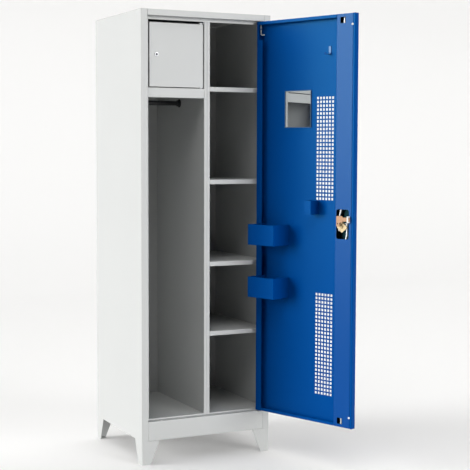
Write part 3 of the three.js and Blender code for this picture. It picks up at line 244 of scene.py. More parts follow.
class Recipe:
    """A finish being put together round one shader."""

    def __init__(self, name, tree=None):
        if tree is None:
            self.material = bpy.data.materials.new(name)
            self.material.use_nodes = True
        self.nodes = (tree or self.material.node_tree).nodes
        self.links = (tree or self.material.node_tree).links
        self.nodes.clear()
        self.output = self.nodes.new("ShaderNodeOutputWorld" if tree else "ShaderNodeOutputMaterial")
        if tree is None:
            self.shader = self.nodes.new("ShaderNodeBsdfPrincipled")
            self.links.new(self.shader.outputs[0], self.output.inputs["Surface"])

    def feed(self, socket, value):
        if isinstance(value, Amount):
            self.links.new(value.socket, socket)
        else:
            socket.default_value = value

    def node(self, kind, settings=None, values=None, output=0):
        made = self.nodes.new(kind)
        for name, setting in (settings or {}).items():
            setattr(made, name, setting)
        for name, value in (values or {}).items():
            self.feed(made.inputs[name], value)
        return Amount(self, made.outputs[output])

    def set(self, **values):
        for name, value in values.items():
            self.feed(self.shader.inputs[name.replace("_", " ").title().replace("Ior", "IOR")], value)

    def within(self, low, high, frame_turn):
        """1 inside a box that is given where frame_turn brings the piece, and 0 outside it."""
        here = self.node("ShaderNodeTexCoord", output="Object")
        home = self.node("ShaderNodeMapping", values={
            "Vector": here, "Location": frame_turn.to_translation(), "Rotation": frame_turn.to_euler()})
        mask = 1.0
        for axis in range(3):
            place = self.node("ShaderNodeSeparateXYZ", values={"Vector": home}, output=axis)
            mask = mask * (place > low[axis]) * (1 - (place > high[axis]))
        return mask

    def noise(self, scale, detail, stretch=(1, 1, 1)):
        here = self.node("ShaderNodeTexCoord", output="Object")
        place = self.node("ShaderNodeMapping", values={"Vector": here, "Scale": stretch})
        return self.node(
            "ShaderNodeTexNoise", values={"Vector": place, "Scale": scale, "Detail": detail})

    def blend(self, amount, first, second):
        return self.node(
            "ShaderNodeMix", {"data_type": "RGBA"}, {0: amount, 6: first, 7: second}, output=2)

    def uneven(self, amount, colour, tones):
        """A colour that wavers between two tones of itself."""
        return self.blend(amount, *(tone(colour, factor) for factor in tones))

    def seen(self, kind):
        """1 for a ray of this kind and 0 for any other."""
        return self.node("ShaderNodeLightPath", output=f"Is {kind} Ray")

    def mirrored(self):
        """1 for what shows in metal or through glass."""
        return self.larger(self.seen("Glossy"), self.seen("Transmission"))

    def larger(self, first, second):
        return self.node("ShaderNodeMath", {"operation": "MAXIMUM"}, {0: first, 1: second})

    def bump(self, height, depth, strength=1.0):
        return self.node(
            "ShaderNodeBump", values={"Height": height, "Distance": depth, "Strength": strength})


def tone(colour, factor):
    return (*(min(1.0, channel * factor) for channel in colour), 1.0)


# Finishes
def powder_coat(name, colour, settings, roughness, shine, tint=(1, 1, 1, 1), painted_shade_box=None):
    """Satin powder coat: a fine ripple, a little unevenness in tone and gloss, and a hollow painted near
    black as painted shade.

    The coat gives back less of the light that it passes on to other pieces, which deepens the shadows.
    """
    recipe = Recipe(name)
    cloud = recipe.noise(*COAT_CLOUD) * COAT_CLOUD_SHARE
    grain = recipe.noise(*COAT_GRAIN) * (1 - COAT_CLOUD_SHARE)
    body = recipe.uneven(cloud + grain, colour, COAT_TONES)
    if painted_shade_box:
        # Painted shade: the channel's hollow is painted near black
        body = recipe.blend(recipe.within(*painted_shade_box, SWING.inverted()), body, HOLLOW_PAINTED_SHADE)
    body = recipe.blend(recipe.seen("Diffuse") * COAT_LOST_LIGHT, body, BLACK)
    ripple = recipe.noise(*COAT_RIPPLE) + recipe.noise(*COAT_FINE_RIPPLE) * COAT_FINE_SHARE
    gloss = roughness - COAT_WAVER / 2 + recipe.noise(*COAT_PATCHES) * COAT_WAVER
    recipe.set(
        base_color=body, roughness=gloss, ior=COAT_INDEX, specular_ior_level=shine, specular_tint=tint,
        normal=recipe.bump(ripple, settings.peel),
    )
    return recipe.material


def plating(name, colour, second, grain, roughness, metallic):
    """Plated steel: clouds of a second tint, drawn lines and fine pits."""
    recipe = Recipe(name)
    cloud = recipe.noise(*PLATE_CLOUD)
    lines = recipe.noise(*PLATE_LINES, grain)
    body = recipe.blend(cloud, tone(colour, 1.0), tone(second, 1.0))
    recipe.set(
        base_color=recipe.blend(lines * STREAK_SHARE, body, tone(colour, STREAK_TONE)), metallic=metallic,
        roughness=roughness - PLATE_WAVER / 2 + lines * PLATE_WAVER,
        normal=recipe.bump(lines + cloud * PLATE_CLOUD_HEIGHT, PLATE_DEPTH, PLATE_RELIEF),
    )
    return recipe.material


def moulding(name, colour, roughness):
    """Moulded plastic: a spark-eroded grain and a faint flow of tone."""
    recipe = Recipe(name)
    pits = recipe.noise(*MOULD_PITS)
    recipe.set(
        base_color=recipe.uneven(recipe.noise(*MOULD_FLOW), colour, MOULD_TONES),
        roughness=roughness + pits * MOULD_WAVER, ior=MOULD_INDEX, normal=recipe.bump(pits, MOULD_DEPTH),
    )
    return recipe.material


def silvering(name):
    """Mirror glass: a silver layer with faint wipe marks, stuck on a little turned from the door."""
    recipe = Recipe(name)
    wipes = recipe.noise(*GLASS_WIPES, WIPED_LINES)
    facing = recipe.node("ShaderNodeNewGeometry", output="Normal")
    turned_glass = recipe.node(
        "ShaderNodeVectorRotate", {"rotation_type": "Z_AXIS"}, {"Vector": facing, "Angle": MIRROR_TURN})
    recipe.set(
        base_color=recipe.blend(wipes, *SILVER_TONES), metallic=1.0,
        roughness=SILVER_ROUGHNESS + wipes * GLASS_WAVER, normal=turned_glass,
    )
    return recipe.material


def polish(name, colour, roughness):
    """Satin chrome or nickel: bright, with hairline marks."""
    recipe = Recipe(name)
    marks = recipe.noise(*CHROME_MARKS, HAIRLINES)
    recipe.set(
        base_color=recipe.uneven(marks, colour, CHROME_TONES), metallic=1.0,
        roughness=roughness + marks * CHROME_WAVER,
    )
    return recipe.material


def channel_shade_box():
    """The box of the door's lock channel's hollow, with the door shut, where the coat is painted near
    black as painted shade.
    """
    low, high = home_box("door_lock_channel")
    skin = home_box("door_panel")[0].y
    half = SHEET / 2
    return Vector((low.x + half, skin + half, low.z)), Vector((high.x - half, high.y - half, high.z))


FINISHES = {}


def make_finishes(scene):
    paint = scene.locker_paint
    metal = scene.locker_metal
    blue = {"colour": paint.blue, "settings": paint, "roughness": 0.28}
    # The channel's hollow, which the blue coats paint near black as painted shade
    inside = channel_shade_box()
    FINISHES.update(
        grey_paint=powder_coat("grey_powder_coat", paint.grey, paint, roughness=0.4, shine=0.3),
        blue_paint=powder_coat(
            "blue_powder_coat", **blue, shine=0.1, tint=(0, 0.8, 1, 1), painted_shade_box=inside),
        channel_paint=powder_coat(
            "channel_powder_coat", **blue, shine=0.16, tint=(0.5, 0.95, 1, 1), painted_shade_box=inside),
        hook_enamel=powder_coat("hook_enamel", **blue, shine=0.5, tint=(0.6, 0.92, 1, 1)),
        bright_steel=plating(
            "bright_zinc", metal.zinc, (0.86, 0.89, 0.92), DOWN_LINES, roughness=0.36, metallic=0.3),
        yellow_zinc=plating(
            "yellow_zinc", metal.yellow, (0.58, 0.42, 0.22), ROLLED_LINES, roughness=0.5, metallic=0.2),
        bronze_zinc=plating(
            "copper_tinted_zinc", metal.copper, (0.48, 0.28, 0.15), ROLLED_LINES, roughness=0.5,
            metallic=0.2),
        black_plastic=moulding("black_plastic", (0.012, 0.013, 0.015), roughness=0.4),
        white_nylon=moulding("white_nylon", (0.80, 0.81, 0.80), roughness=0.45),
        mirror=silvering("silvered_glass"),
        chrome=polish("satin_chrome", (0.60, 0.61, 0.62), roughness=0.42),
        # Nickel darkened so the lock's centre shows dark: painted shade for the plug's recess and keyway
        dark_nickel=polish("dark_nickel", (0.10, 0.10, 0.11), roughness=0.38),
        glass_edge=moulding("ground_glass_edge", (0.04, 0.12, 0.24), roughness=0.5),
    )


# Modelling helpers
def deselect():
    if bpy.context.mode != "OBJECT":
        bpy.ops.object.mode_set(mode="OBJECT")
    bpy.ops.object.select_all(action="DESELECT")


def activate(piece):
    deselect()
    piece.select_set(True)
    bpy.context.view_layer.objects.active = piece


def started(name):
    piece = bpy.context.active_object
    piece.name = name
    piece.data.name = name
    return piece


def settle(piece):
    """Moves the piece's place into its mesh."""
    activate(piece)
    bpy.ops.object.transform_apply(location=True, rotation=True, scale=True)
    return piece


def modified(piece, kind, **settings):
    activate(piece)
    modifier = piece.modifiers.new(kind.title(), kind)
    for name, value in settings.items():
        setattr(modifier, name, value)
    bpy.ops.object.modifier_apply(modifier=modifier.name)
    return piece


def rounded(piece, width, segments=2, angle=EDGE_ANGLE):
    return modified(
        piece, "BEVEL", width=width, segments=segments, limit_method="ANGLE", angle_limit=angle,
        use_clamp_overlap=True)


def smoothed(piece):
    activate(piece)
    bpy.ops.object.shade_smooth_by_angle(angle=SMOOTH_ANGLE)
    return modified(piece, "WEIGHTED_NORMAL", mode="FACE_AREA", keep_sharp=True)


def picked(piece, kind, test):
    """Leaves a piece in edit mode with just those of its edges or faces selected that pass a test."""
    activate(piece)
    bpy.ops.object.mode_set(mode="EDIT")
    bpy.ops.mesh.select_mode(type=kind)
    bpy.ops.mesh.select_all(action="DESELECT")
    bpy.ops.object.mode_set(mode="OBJECT")
    for part in piece.data.edges if kind == "EDGE" else piece.data.polygons:
        part.select = test(part)
    bpy.ops.object.mode_set(mode="EDIT")


def faced_outward(piece):
    activate(piece)
    bpy.ops.object.mode_set(mode="EDIT")
    bpy.ops.mesh.select_all(action="SELECT")
    bpy.ops.mesh.remove_doubles(threshold=MERGE_GAP)
    bpy.ops.mesh.normals_make_consistent(inside=False)
    bpy.ops.object.mode_set(mode="OBJECT")
    return piece


def combined(piece, other, operation="DIFFERENCE"):
    modified(piece, "BOOLEAN", object=other, operation=operation, solver="EXACT")
    bpy.data.objects.remove(other)
    return piece


def home_box(node):
    """A node's lowest and highest corners, for the door's nodes with the door swung shut."""
    if BODIES[node] not in DOOR_BODIES:
        return tuple(Vector(corner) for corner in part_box(node))
    back = SWING.inverted()
    points = [back @ vertex.co for vertex in frame["nodes"][node].data.vertices]
    return tuple(Vector(pick(point[i] for point in points) for i in range(3)) for pick in (min, max))


def fitted(piece, node, **choices):
    """Swings a piece of the door open, gives it its finish and puts it in the node's place."""
    if BODIES[node] in DOOR_BODIES:
        piece.data.transform(SWING)
    return dressed(piece, node, **choices)


def dressed(piece, node, look=None, added=False):
    """Gives a piece its finish and its body; it stands for the node, unless it is added to it."""
    slot = SLOTS[node]
    piece.data.materials.clear()
    piece.data.materials.append(FINISHES[look or slot])
    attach(piece, BODIES[node])
    if not added:
        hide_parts(node)
    return piece


def block(name, low, high):
    deselect()
    middle = [(a + b) / 2 for a, b in zip(low, high)]
    bpy.ops.mesh.primitive_cube_add(size=1, location=middle)
    piece = started(name)
    piece.scale = [b - a for a, b in zip(low, high)]
    return settle(piece)


def turned(name, rings, foot, axis, sides=ROUND_SIDES):
    """A round piece, drawn out of a disc ring by ring along an axis."""
    (radius, height), *rest = rings
    deselect()
    bpy.ops.mesh.primitive_circle_add(vertices=sides, radius=radius, fill_type="NGON")
    piece = started(name)
    bpy.ops.object.mode_set(mode="EDIT")
    bpy.ops.transform.translate(value=(0, 0, height))
    for next_radius, next_height in rest:
        bpy.ops.mesh.extrude_region_move(TRANSFORM_OT_translate={"value": (0, 0, next_height - height)})
        share = next_radius / radius
        bpy.ops.transform.resize(value=(share, share, 1), center_override=(0, 0, next_height))
        radius, height = next_radius, next_height
    bpy.ops.object.mode_set(mode="OBJECT")
    piece.rotation_mode = "QUATERNION"
    piece.rotation_quaternion = Vector(axis).to_track_quat("Z", "Y")
    piece.location = foot
    settle(piece)
    return faced_outward(piece)


def turned_node(node, name, shares, axis, sides=ROUND_SIDES):
    """A round piece that fills the node's box, from a profile in shares of its radius and length."""
    low, high = home_box(node)
    middle = (low + high) / 2
    along = max(range(3), key=lambda i: abs(axis[i]))
    length = high[along] - low[along]
    radius = min(high[i] - low[i] for i in range(3) if i != along) / 2
    foot = middle.copy()
    foot[along] = low[along] if axis[along] > 0 else high[along]
    rings = [(radius * r, length * z) for r, z in shares]
    return turned(name, rings, foot, axis, sides)


def bored(piece, foot, axis, radius, length, sides=ROUND_SIDES):
    return combined(piece, turned("bore", ((radius, 0), (radius, length)), foot, axis, sides))


def bored_through(piece, node, way, radius, sides=ROUND_SIDES):
    """Bores a hole along the middle of a node's box, a little past both its ends."""
    low, high = home_box(node)
    along = way.index(1)
    foot = (low + high) / 2
    foot[along] = low[along] - OVERRUN
    return bored(piece, foot, way, radius, high[along] - low[along] + 2 * OVERRUN, sides)


def keyway_cut(piece, node, size):
    """Cuts the slot for a key into the front of a turned piece."""
    low, high = home_box(node)
    middle = (low + high) / 2
    start = (middle.x - size.x / 2, low.y - OVERRUN, middle.z - size.z / 2)
    end = (middle.x + size.x / 2, low.y + size.y, middle.z + size.z / 2)
    return combined(piece, block("keyway", start, end))


def merged(node):
    """A copy of the node's own mesh with its loose triangles joined into plain faces."""
    source = frame["nodes"][node]
    piece = bpy.data.objects.new(node + "_finished", source.data.copy())
    bpy.context.scene.collection.objects.link(piece)
    activate(piece)
    bpy.ops.object.mode_set(mode="EDIT")
    bpy.ops.mesh.select_all(action="SELECT")
    bpy.ops.mesh.remove_doubles(threshold=MERGE_GAP)
    bpy.ops.mesh.dissolve_limited(angle_limit=FLAT_ANGLE)
    bpy.ops.object.mode_set(mode="OBJECT")
    return piece


def refined(node, width=0):
    """A merged copy of the node's own mesh with its folds smooth and any edges of a plate rounded."""
    piece = merged(node)
    if width:
        rounded(piece, width)
    return smoothed(piece)


# Pieces
class LOCKER_OT_folded_sheets(bpy.types.Operator):
    """Smooth the folds of the cabinet's and the doors' sheets"""

    bl_idname = "locker.folded_sheets"
    bl_label = "Folded sheets"

    NODES = (
        "left_side_panel", "right_side_panel", "top_panel", "front_plinth_rail", "floor_panel",
        "floor_rear_rail", "partition_left_skin", "partition_right_skin", "compartment_floor",
        "shelf_1", "shelf_2", "shelf_3", "shelf_4", "compartment_door", "door_panel",
    )

    def execute(self, context):
        for node in self.NODES:
            dressed(refined(node), node)
        dressed(refined("door_lock_channel"), "door_lock_channel", look="channel_paint")
        return {"FINISHED"}


class LOCKER_OT_plates(bpy.types.Operator):
    """Round the edges of the legs, holders, hook, brackets and lock plates"""

    bl_idname = "locker.plates"
    bl_label = "Plates"

    SHEETS = ("bottle_holder_lower", "bottle_holder_upper", "comb_holder")
    PLATES = (
        "front_left_leg", "front_right_leg", "rear_left_leg", "rear_right_leg", "hinge_pin_guide",
        "compartment_hinge_bracket", "compartment_strike", "compartment_lock_cam", "lock_cam",
        "lock_centre_bolt", "lock_rod_upper", "lock_rod_lower", "lock_spindle", "centre_bolt_guide",
    )
    MOULDED = ("rod_guide_upper", "rod_guide_lower")

    def execute(self, context):
        edges = context.scene.locker_edges
        for nodes, width in ((self.SHEETS, edges.sheet), (self.PLATES, edges.plate),
                             (self.MOULDED, edges.moulded)):
            for node in nodes:
                dressed(refined(node, width), node)
        dressed(merged("mirror_glass"), "mirror_glass")
        dressed(refined("mirror_frame", edges.plate), "mirror_frame", look="glass_edge")
        dressed(refined("towel_hook", edges.plate), "towel_hook", look="hook_enamel")
        return {"FINISHED"}


class LOCKER_OT_clothes_rail(bpy.types.Operator):
    """Model the clothes rail and its two sockets"""

    bl_idname = "locker.clothes_rail"
    bl_label = "Clothes rail"

    WALL = 1.5 * MM
    LIP = 0.4 * MM
    SOCKET_BORE = 10.3 * MM
    SOCKET_FLOOR = 3 * MM

    def execute(self, context):
        low, high = home_box("clothes_rail")
        middle = (low + high) / 2
        radius = (high.z - low.z) / 2
        lip = self.LIP
        length = high.x - low.x
        rings = ((radius - lip, 0), (radius, lip), (radius, length - lip), (radius - lip, length))
        rail = turned("clothes_rail_tube", rings, (low.x, middle.y, middle.z), RIGHTWARD)
        bored(rail, (low.x - lip, middle.y, middle.z), RIGHTWARD, radius - self.WALL, length + lip + lip)
        fitted(smoothed(rail), "clothes_rail")
        for node, way in (("rail_socket_left", 1), ("rail_socket_right", -1)):
            low, high = home_box(node)
            socket = turned_node(node, node + "_cup", SOCKET_SHARES, (way, 0, 0))
            seat = (low.x if way > 0 else high.x) + way * self.SOCKET_FLOOR
            bored(socket, (seat, middle.y, middle.z), (way, 0, 0), self.SOCKET_BORE, high.x - low.x)
            fitted(smoothed(socket), node)
        return {"FINISHED"}


class LOCKER_OT_pivots(bpy.types.Operator):
    """Model the pins, bushes and washers that the two doors turn on"""

    bl_idname = "locker.pivots"
    bl_label = "Pivots"

    BORE = 3.3 * MM
    BEND = 7 * MM
    BEND_STEPS = 8
    PIN_EDGE = 0.5 * MM
    PIN_EDGE_ANGLE = math.radians(60)

    def execute(self, context):
        for node, shares in (("hinge_bush_upper", BUSH_SHARES), ("hinge_washer_lower", WASHER_SHARES)):
            ring = turned_node(node, node + "_ring", shares, UPWARD, SMALL_SIDES)
            fitted(smoothed(bored_through(ring, node, UPWARD, self.BORE, SMALL_SIDES)), node)
        for node, way in (("hinge_pin_lower", UPWARD), ("compartment_pin_upper", DOWNWARD)):
            pin = turned_node(node, node + "_turned", HEADED_PIN_SHARES, way, SMALL_SIDES)
            fitted(smoothed(pin), node)
        dressed(refined("compartment_pin_lower"), "compartment_pin_lower")
        self.sliding_pin()
        return {"FINISHED"}

    def sliding_pin(self):
        """The upper pin is one bent rod: a foot, a quarter bend and a long leg."""
        low, high = home_box("hinge_pin_upper")
        radius = (high.y - low.y) / 2
        middle_y = (low.y + high.y) / 2
        corner = Vector((high.x - radius, middle_y, low.z + radius))
        deselect()
        bpy.ops.mesh.primitive_circle_add(
            vertices=SMALL_SIDES, radius=radius, fill_type="NGON", location=(low.x, middle_y, corner.z),
            rotation=(0, math.pi / 2, 0))
        pin = started("hinge_pin_upper_bent")
        bpy.ops.object.mode_set(mode="EDIT")
        self.drawn_out((corner.x - self.BEND - low.x, 0, 0))
        centre = (corner.x - self.BEND, middle_y, corner.z + self.BEND)
        turn = math.pi / 2 / self.BEND_STEPS
        chord = 2 * self.BEND * math.sin(turn / 2)
        for step in range(self.BEND_STEPS):
            angle = turn * (step + 0.5)
            self.drawn_out((chord * math.cos(angle), 0, chord * math.sin(angle)))
            reached = turn * (step + 1)
            here = (centre[0] + self.BEND * math.sin(reached), middle_y,
                    centre[2] - self.BEND * math.cos(reached))
            bpy.ops.transform.rotate(value=turn, orient_axis="Y", center_override=here)
        self.drawn_out((0, 0, high.z - corner.z - self.BEND))
        bpy.ops.object.mode_set(mode="OBJECT")
        settle(pin)
        faced_outward(pin)
        rounded(pin, self.PIN_EDGE, angle=self.PIN_EDGE_ANGLE)
        fitted(smoothed(pin), "hinge_pin_upper")

    def drawn_out(self, way):
        bpy.ops.mesh.extrude_region_move(TRANSFORM_OT_translate={"value": way})


class LOCKER_OT_bumpers(bpy.types.Operator):
    """Model the two white bumpers on the lock channel"""

    bl_idname = "locker.bumpers"
    bl_label = "Bumpers"

    def execute(self, context):
        for node in ("bumper_upper", "bumper_lower"):
            dome = turned_node(node, node + "_dome", BUMPER_SHARES, INWARD, SMALL_SIDES)
            fitted(smoothed(dome), node)
        return {"FINISHED"}


class LOCKER_OT_knob(bpy.types.Operator):
    """Model the turning knob, its plate, its nut and its key cylinder"""

    bl_idname = "locker.knob"
    bl_label = "Knob"

    GRIP_DEPTH = 11 * MM
    GRIP_WIDTH = 19 * MM
    GRIP_EDGE, GRIP_EDGE_STEPS = 2.2 * MM, 5
    GRIP_ROUND_SHARE, GRIP_ROUND_STEPS = 0.98, 10
    BASE_EDGE = 1.6 * MM
    BASE_EDGE_SHARES = 0.4, 0.3
    CYLINDER_BORE = 8.3 * MM
    CYLINDER_BORE_DEPTH = 9 * MM
    SPINDLE_SIDE = 8.6 * MM
    SPINDLE_POCKET = 6 * MM
    PLATE_BORE = 6.3 * MM
    NUT_BORE = 9.3 * MM
    NUT_CHAMFER = 1.2 * MM
    CONE_SHARES = 0.93, 1.02
    KEYWAY = Vector((1.8 * MM, 3.2 * MM, 9 * MM))

    def execute(self, context):
        self.knob()
        plate = turned_node("lock_escutcheon", "lock_escutcheon_turned", ESCUTCHEON_SHARES, INWARD)
        bored_through(plate, "lock_escutcheon", INWARD, self.PLATE_BORE)
        fitted(smoothed(plate), "lock_escutcheon")
        self.nut()
        cylinder = turned_node("lock_key_cylinder", "lock_key_cylinder_turned", CYLINDER_SHARES, INWARD)
        fitted(smoothed(keyway_cut(cylinder, "lock_key_cylinder", self.KEYWAY)), "lock_key_cylinder")
        return {"FINISHED"}

    def knob(self):
        """A round base with a grip across it; the grip's corners are rounded first, then its front."""
        low, high = home_box("lock_knob")
        middle = (low + high) / 2
        face = low.y + self.GRIP_DEPTH
        radius = (high.x - low.x) / 2
        depth = high.y - face
        edge = self.BASE_EDGE
        in_share, down_share = self.BASE_EDGE_SHARES
        rings = ((radius, 0), (radius, depth - edge),
                 (radius - in_share * edge, depth - down_share * edge), (radius - edge, depth))
        knob = turned("lock_knob_moulded", rings, (middle.x, high.y, middle.z), OUTWARD)
        half = self.GRIP_WIDTH / 2
        grip = block("grip", (middle.x - half, low.y, low.z), (middle.x + half, face + depth / 2, high.z))
        points = grip.data.vertices

        def runs_inward(edge):
            start, end = (points[i].co for i in edge.vertices)
            return abs((end - start).normalized().y) > STRAIGHT

        picked(grip, "EDGE", runs_inward)
        bpy.ops.mesh.bevel(
            offset=half * self.GRIP_ROUND_SHARE, segments=self.GRIP_ROUND_STEPS, affect="EDGES")
        picked(grip, "FACE", lambda side: abs(side.center.y - low.y) < MERGE_GAP)
        bpy.ops.mesh.bevel(offset=self.GRIP_EDGE, segments=self.GRIP_EDGE_STEPS, affect="EDGES")
        bpy.ops.object.mode_set(mode="OBJECT")
        combined(knob, grip, "UNION")
        bored(knob, (middle.x, low.y - OVERRUN, middle.z), INWARD, self.CYLINDER_BORE,
              self.CYLINDER_BORE_DEPTH + OVERRUN)
        reach = self.SPINDLE_SIDE / 2
        pocket = block("pocket", (middle.x - reach, high.y - self.SPINDLE_POCKET, middle.z - reach),
                       (middle.x + reach, high.y + OVERRUN, middle.z + reach))
        fitted(smoothed(combined(knob, pocket)), "lock_knob")

    def nut(self):
        """A hexagon whose corners are cut back by a cone at both ends."""
        low, high = home_box("lock_nut")
        foot = (low + high) / 2
        foot.y = low.y
        depth = high.y - low.y
        radius = (high.x - low.x) / math.sqrt(3)
        nut = turned("lock_nut_chamfered", ((radius, 0), (radius, depth)), foot, INWARD, HEXAGON)
        narrow, wide = (radius * share for share in self.CONE_SHARES)
        rings = ((narrow, 0), (wide, self.NUT_CHAMFER), (wide, depth - self.NUT_CHAMFER), (narrow, depth))
        combined(nut, turned("cone", rings, foot, INWARD), "INTERSECT")
        fitted(smoothed(bored_through(nut, "lock_nut", INWARD, self.NUT_BORE)), "lock_nut")


class LOCKER_OT_lock_details(bpy.types.Operator):
    """Model the cam's screw and the heads of its pins"""

    bl_idname = "locker.lock_details"
    bl_label = "Lock details"

    SLOT = 1.2 * MM
    SLOT_DEPTH = 1.0 * MM
    HEAD_HEIGHT = 3 * MM
    SHANK = 2 * MM
    RIVET_RADIUS = 4 * MM
    RIVET_HEIGHT = 1.2 * MM
    RIVET_SUNK = 0.3 * MM
    CRANK = 14 * MM
    RIVET_TURNS = (-45, 135)

    def execute(self, context):
        low, high = home_box("lock_cam_screw")
        middle = (low + high) / 2
        radius = (high.x - low.x) / 2
        seat = high.y - self.HEAD_HEIGHT
        rings = [(self.SHANK, 0), (self.SHANK, seat - low.y)]
        rings += [(radius * r, seat - low.y + self.HEAD_HEIGHT * z) for r, z in SCREW_SHARES]
        screw = turned("lock_cam_screw_turned", rings, (middle.x, low.y, middle.z), INWARD, SMALL_SIDES)
        slot = block("slot", (low.x - OVERRUN, high.y - self.SLOT_DEPTH, middle.z - self.SLOT / 2),
                     (high.x + OVERRUN, high.y + OVERRUN, middle.z + self.SLOT / 2))
        fitted(smoothed(combined(screw, slot)), "lock_cam_screw", look="yellow_zinc")
        face = seat - self.RIVET_SUNK
        for count, degrees in enumerate(self.RIVET_TURNS):
            turn = math.radians(degrees)
            foot = (middle.x + self.CRANK * math.cos(turn), face, middle.z + self.CRANK * math.sin(turn))
            rings = [(self.RIVET_RADIUS * r, self.RIVET_HEIGHT * z) for r, z in SCREW_SHARES]
            rivet = turned(f"cam_rivet_{count + 1}", rings, foot, INWARD, SMALL_SIDES)
            fitted(smoothed(rivet), "lock_cam", added=True)
        return {"FINISHED"}


class LOCKER_OT_compartment_lock(bpy.types.Operator):
    """Model the compartment's lock, its plug, nut and screw"""

    bl_idname = "locker.compartment_lock"
    bl_label = "Compartment lock"

    BORE = 5.8 * MM
    KEYHOLE = 3 * MM
    KEYHOLE_DEPTH = 5 * MM
    KEYWAY = Vector((1.4 * MM, 3 * MM, 7 * MM))
    NUT_EDGE, SCREW_EDGE = 0.4 * MM, 0.3 * MM

    def execute(self, context):
        body = turned_node("compartment_lock_body", "compartment_lock_turned", LOCK_HEAD_SHARES, INWARD)
        bored_through(body, "compartment_lock_body", INWARD, self.BORE)
        fitted(smoothed(body), "compartment_lock_body")
        plug = turned_node(
            "compartment_lock_plug", "compartment_plug_turned", PLUG_SHARES, INWARD, SMALL_SIDES)
        low, high = home_box("compartment_lock_body")
        keyhole = (low + high) / 2
        keyhole.y = home_box("compartment_lock_plug")[0].y - OVERRUN
        bored(plug, keyhole, INWARD, self.KEYHOLE, self.KEYHOLE_DEPTH + OVERRUN, SMALL_SIDES)
        keyway_cut(plug, "compartment_lock_plug", self.KEYWAY)
        # The plug gets the darkened nickel, which is painted shade in the lock's centre
        fitted(smoothed(plug), "compartment_lock_plug", look="dark_nickel")
        dressed(refined("compartment_lock_nut", self.NUT_EDGE), "compartment_lock_nut")
        dressed(refined("compartment_cam_screw", self.SCREW_EDGE), "compartment_cam_screw")
        return {"FINISHED"}


class LOCKER_OT_back_panel(bpy.types.Operator):
    """Give the flat back panel, which stays as it is, its finish"""

    bl_idname = "locker.back_panel"
    bl_label = "Back panel"

    def execute(self, context):
        for slot in frame["nodes"]["back_panel"].material_slots:
            slot.material = FINISHES[SLOTS["back_panel"]]
        return {"FINISHED"}


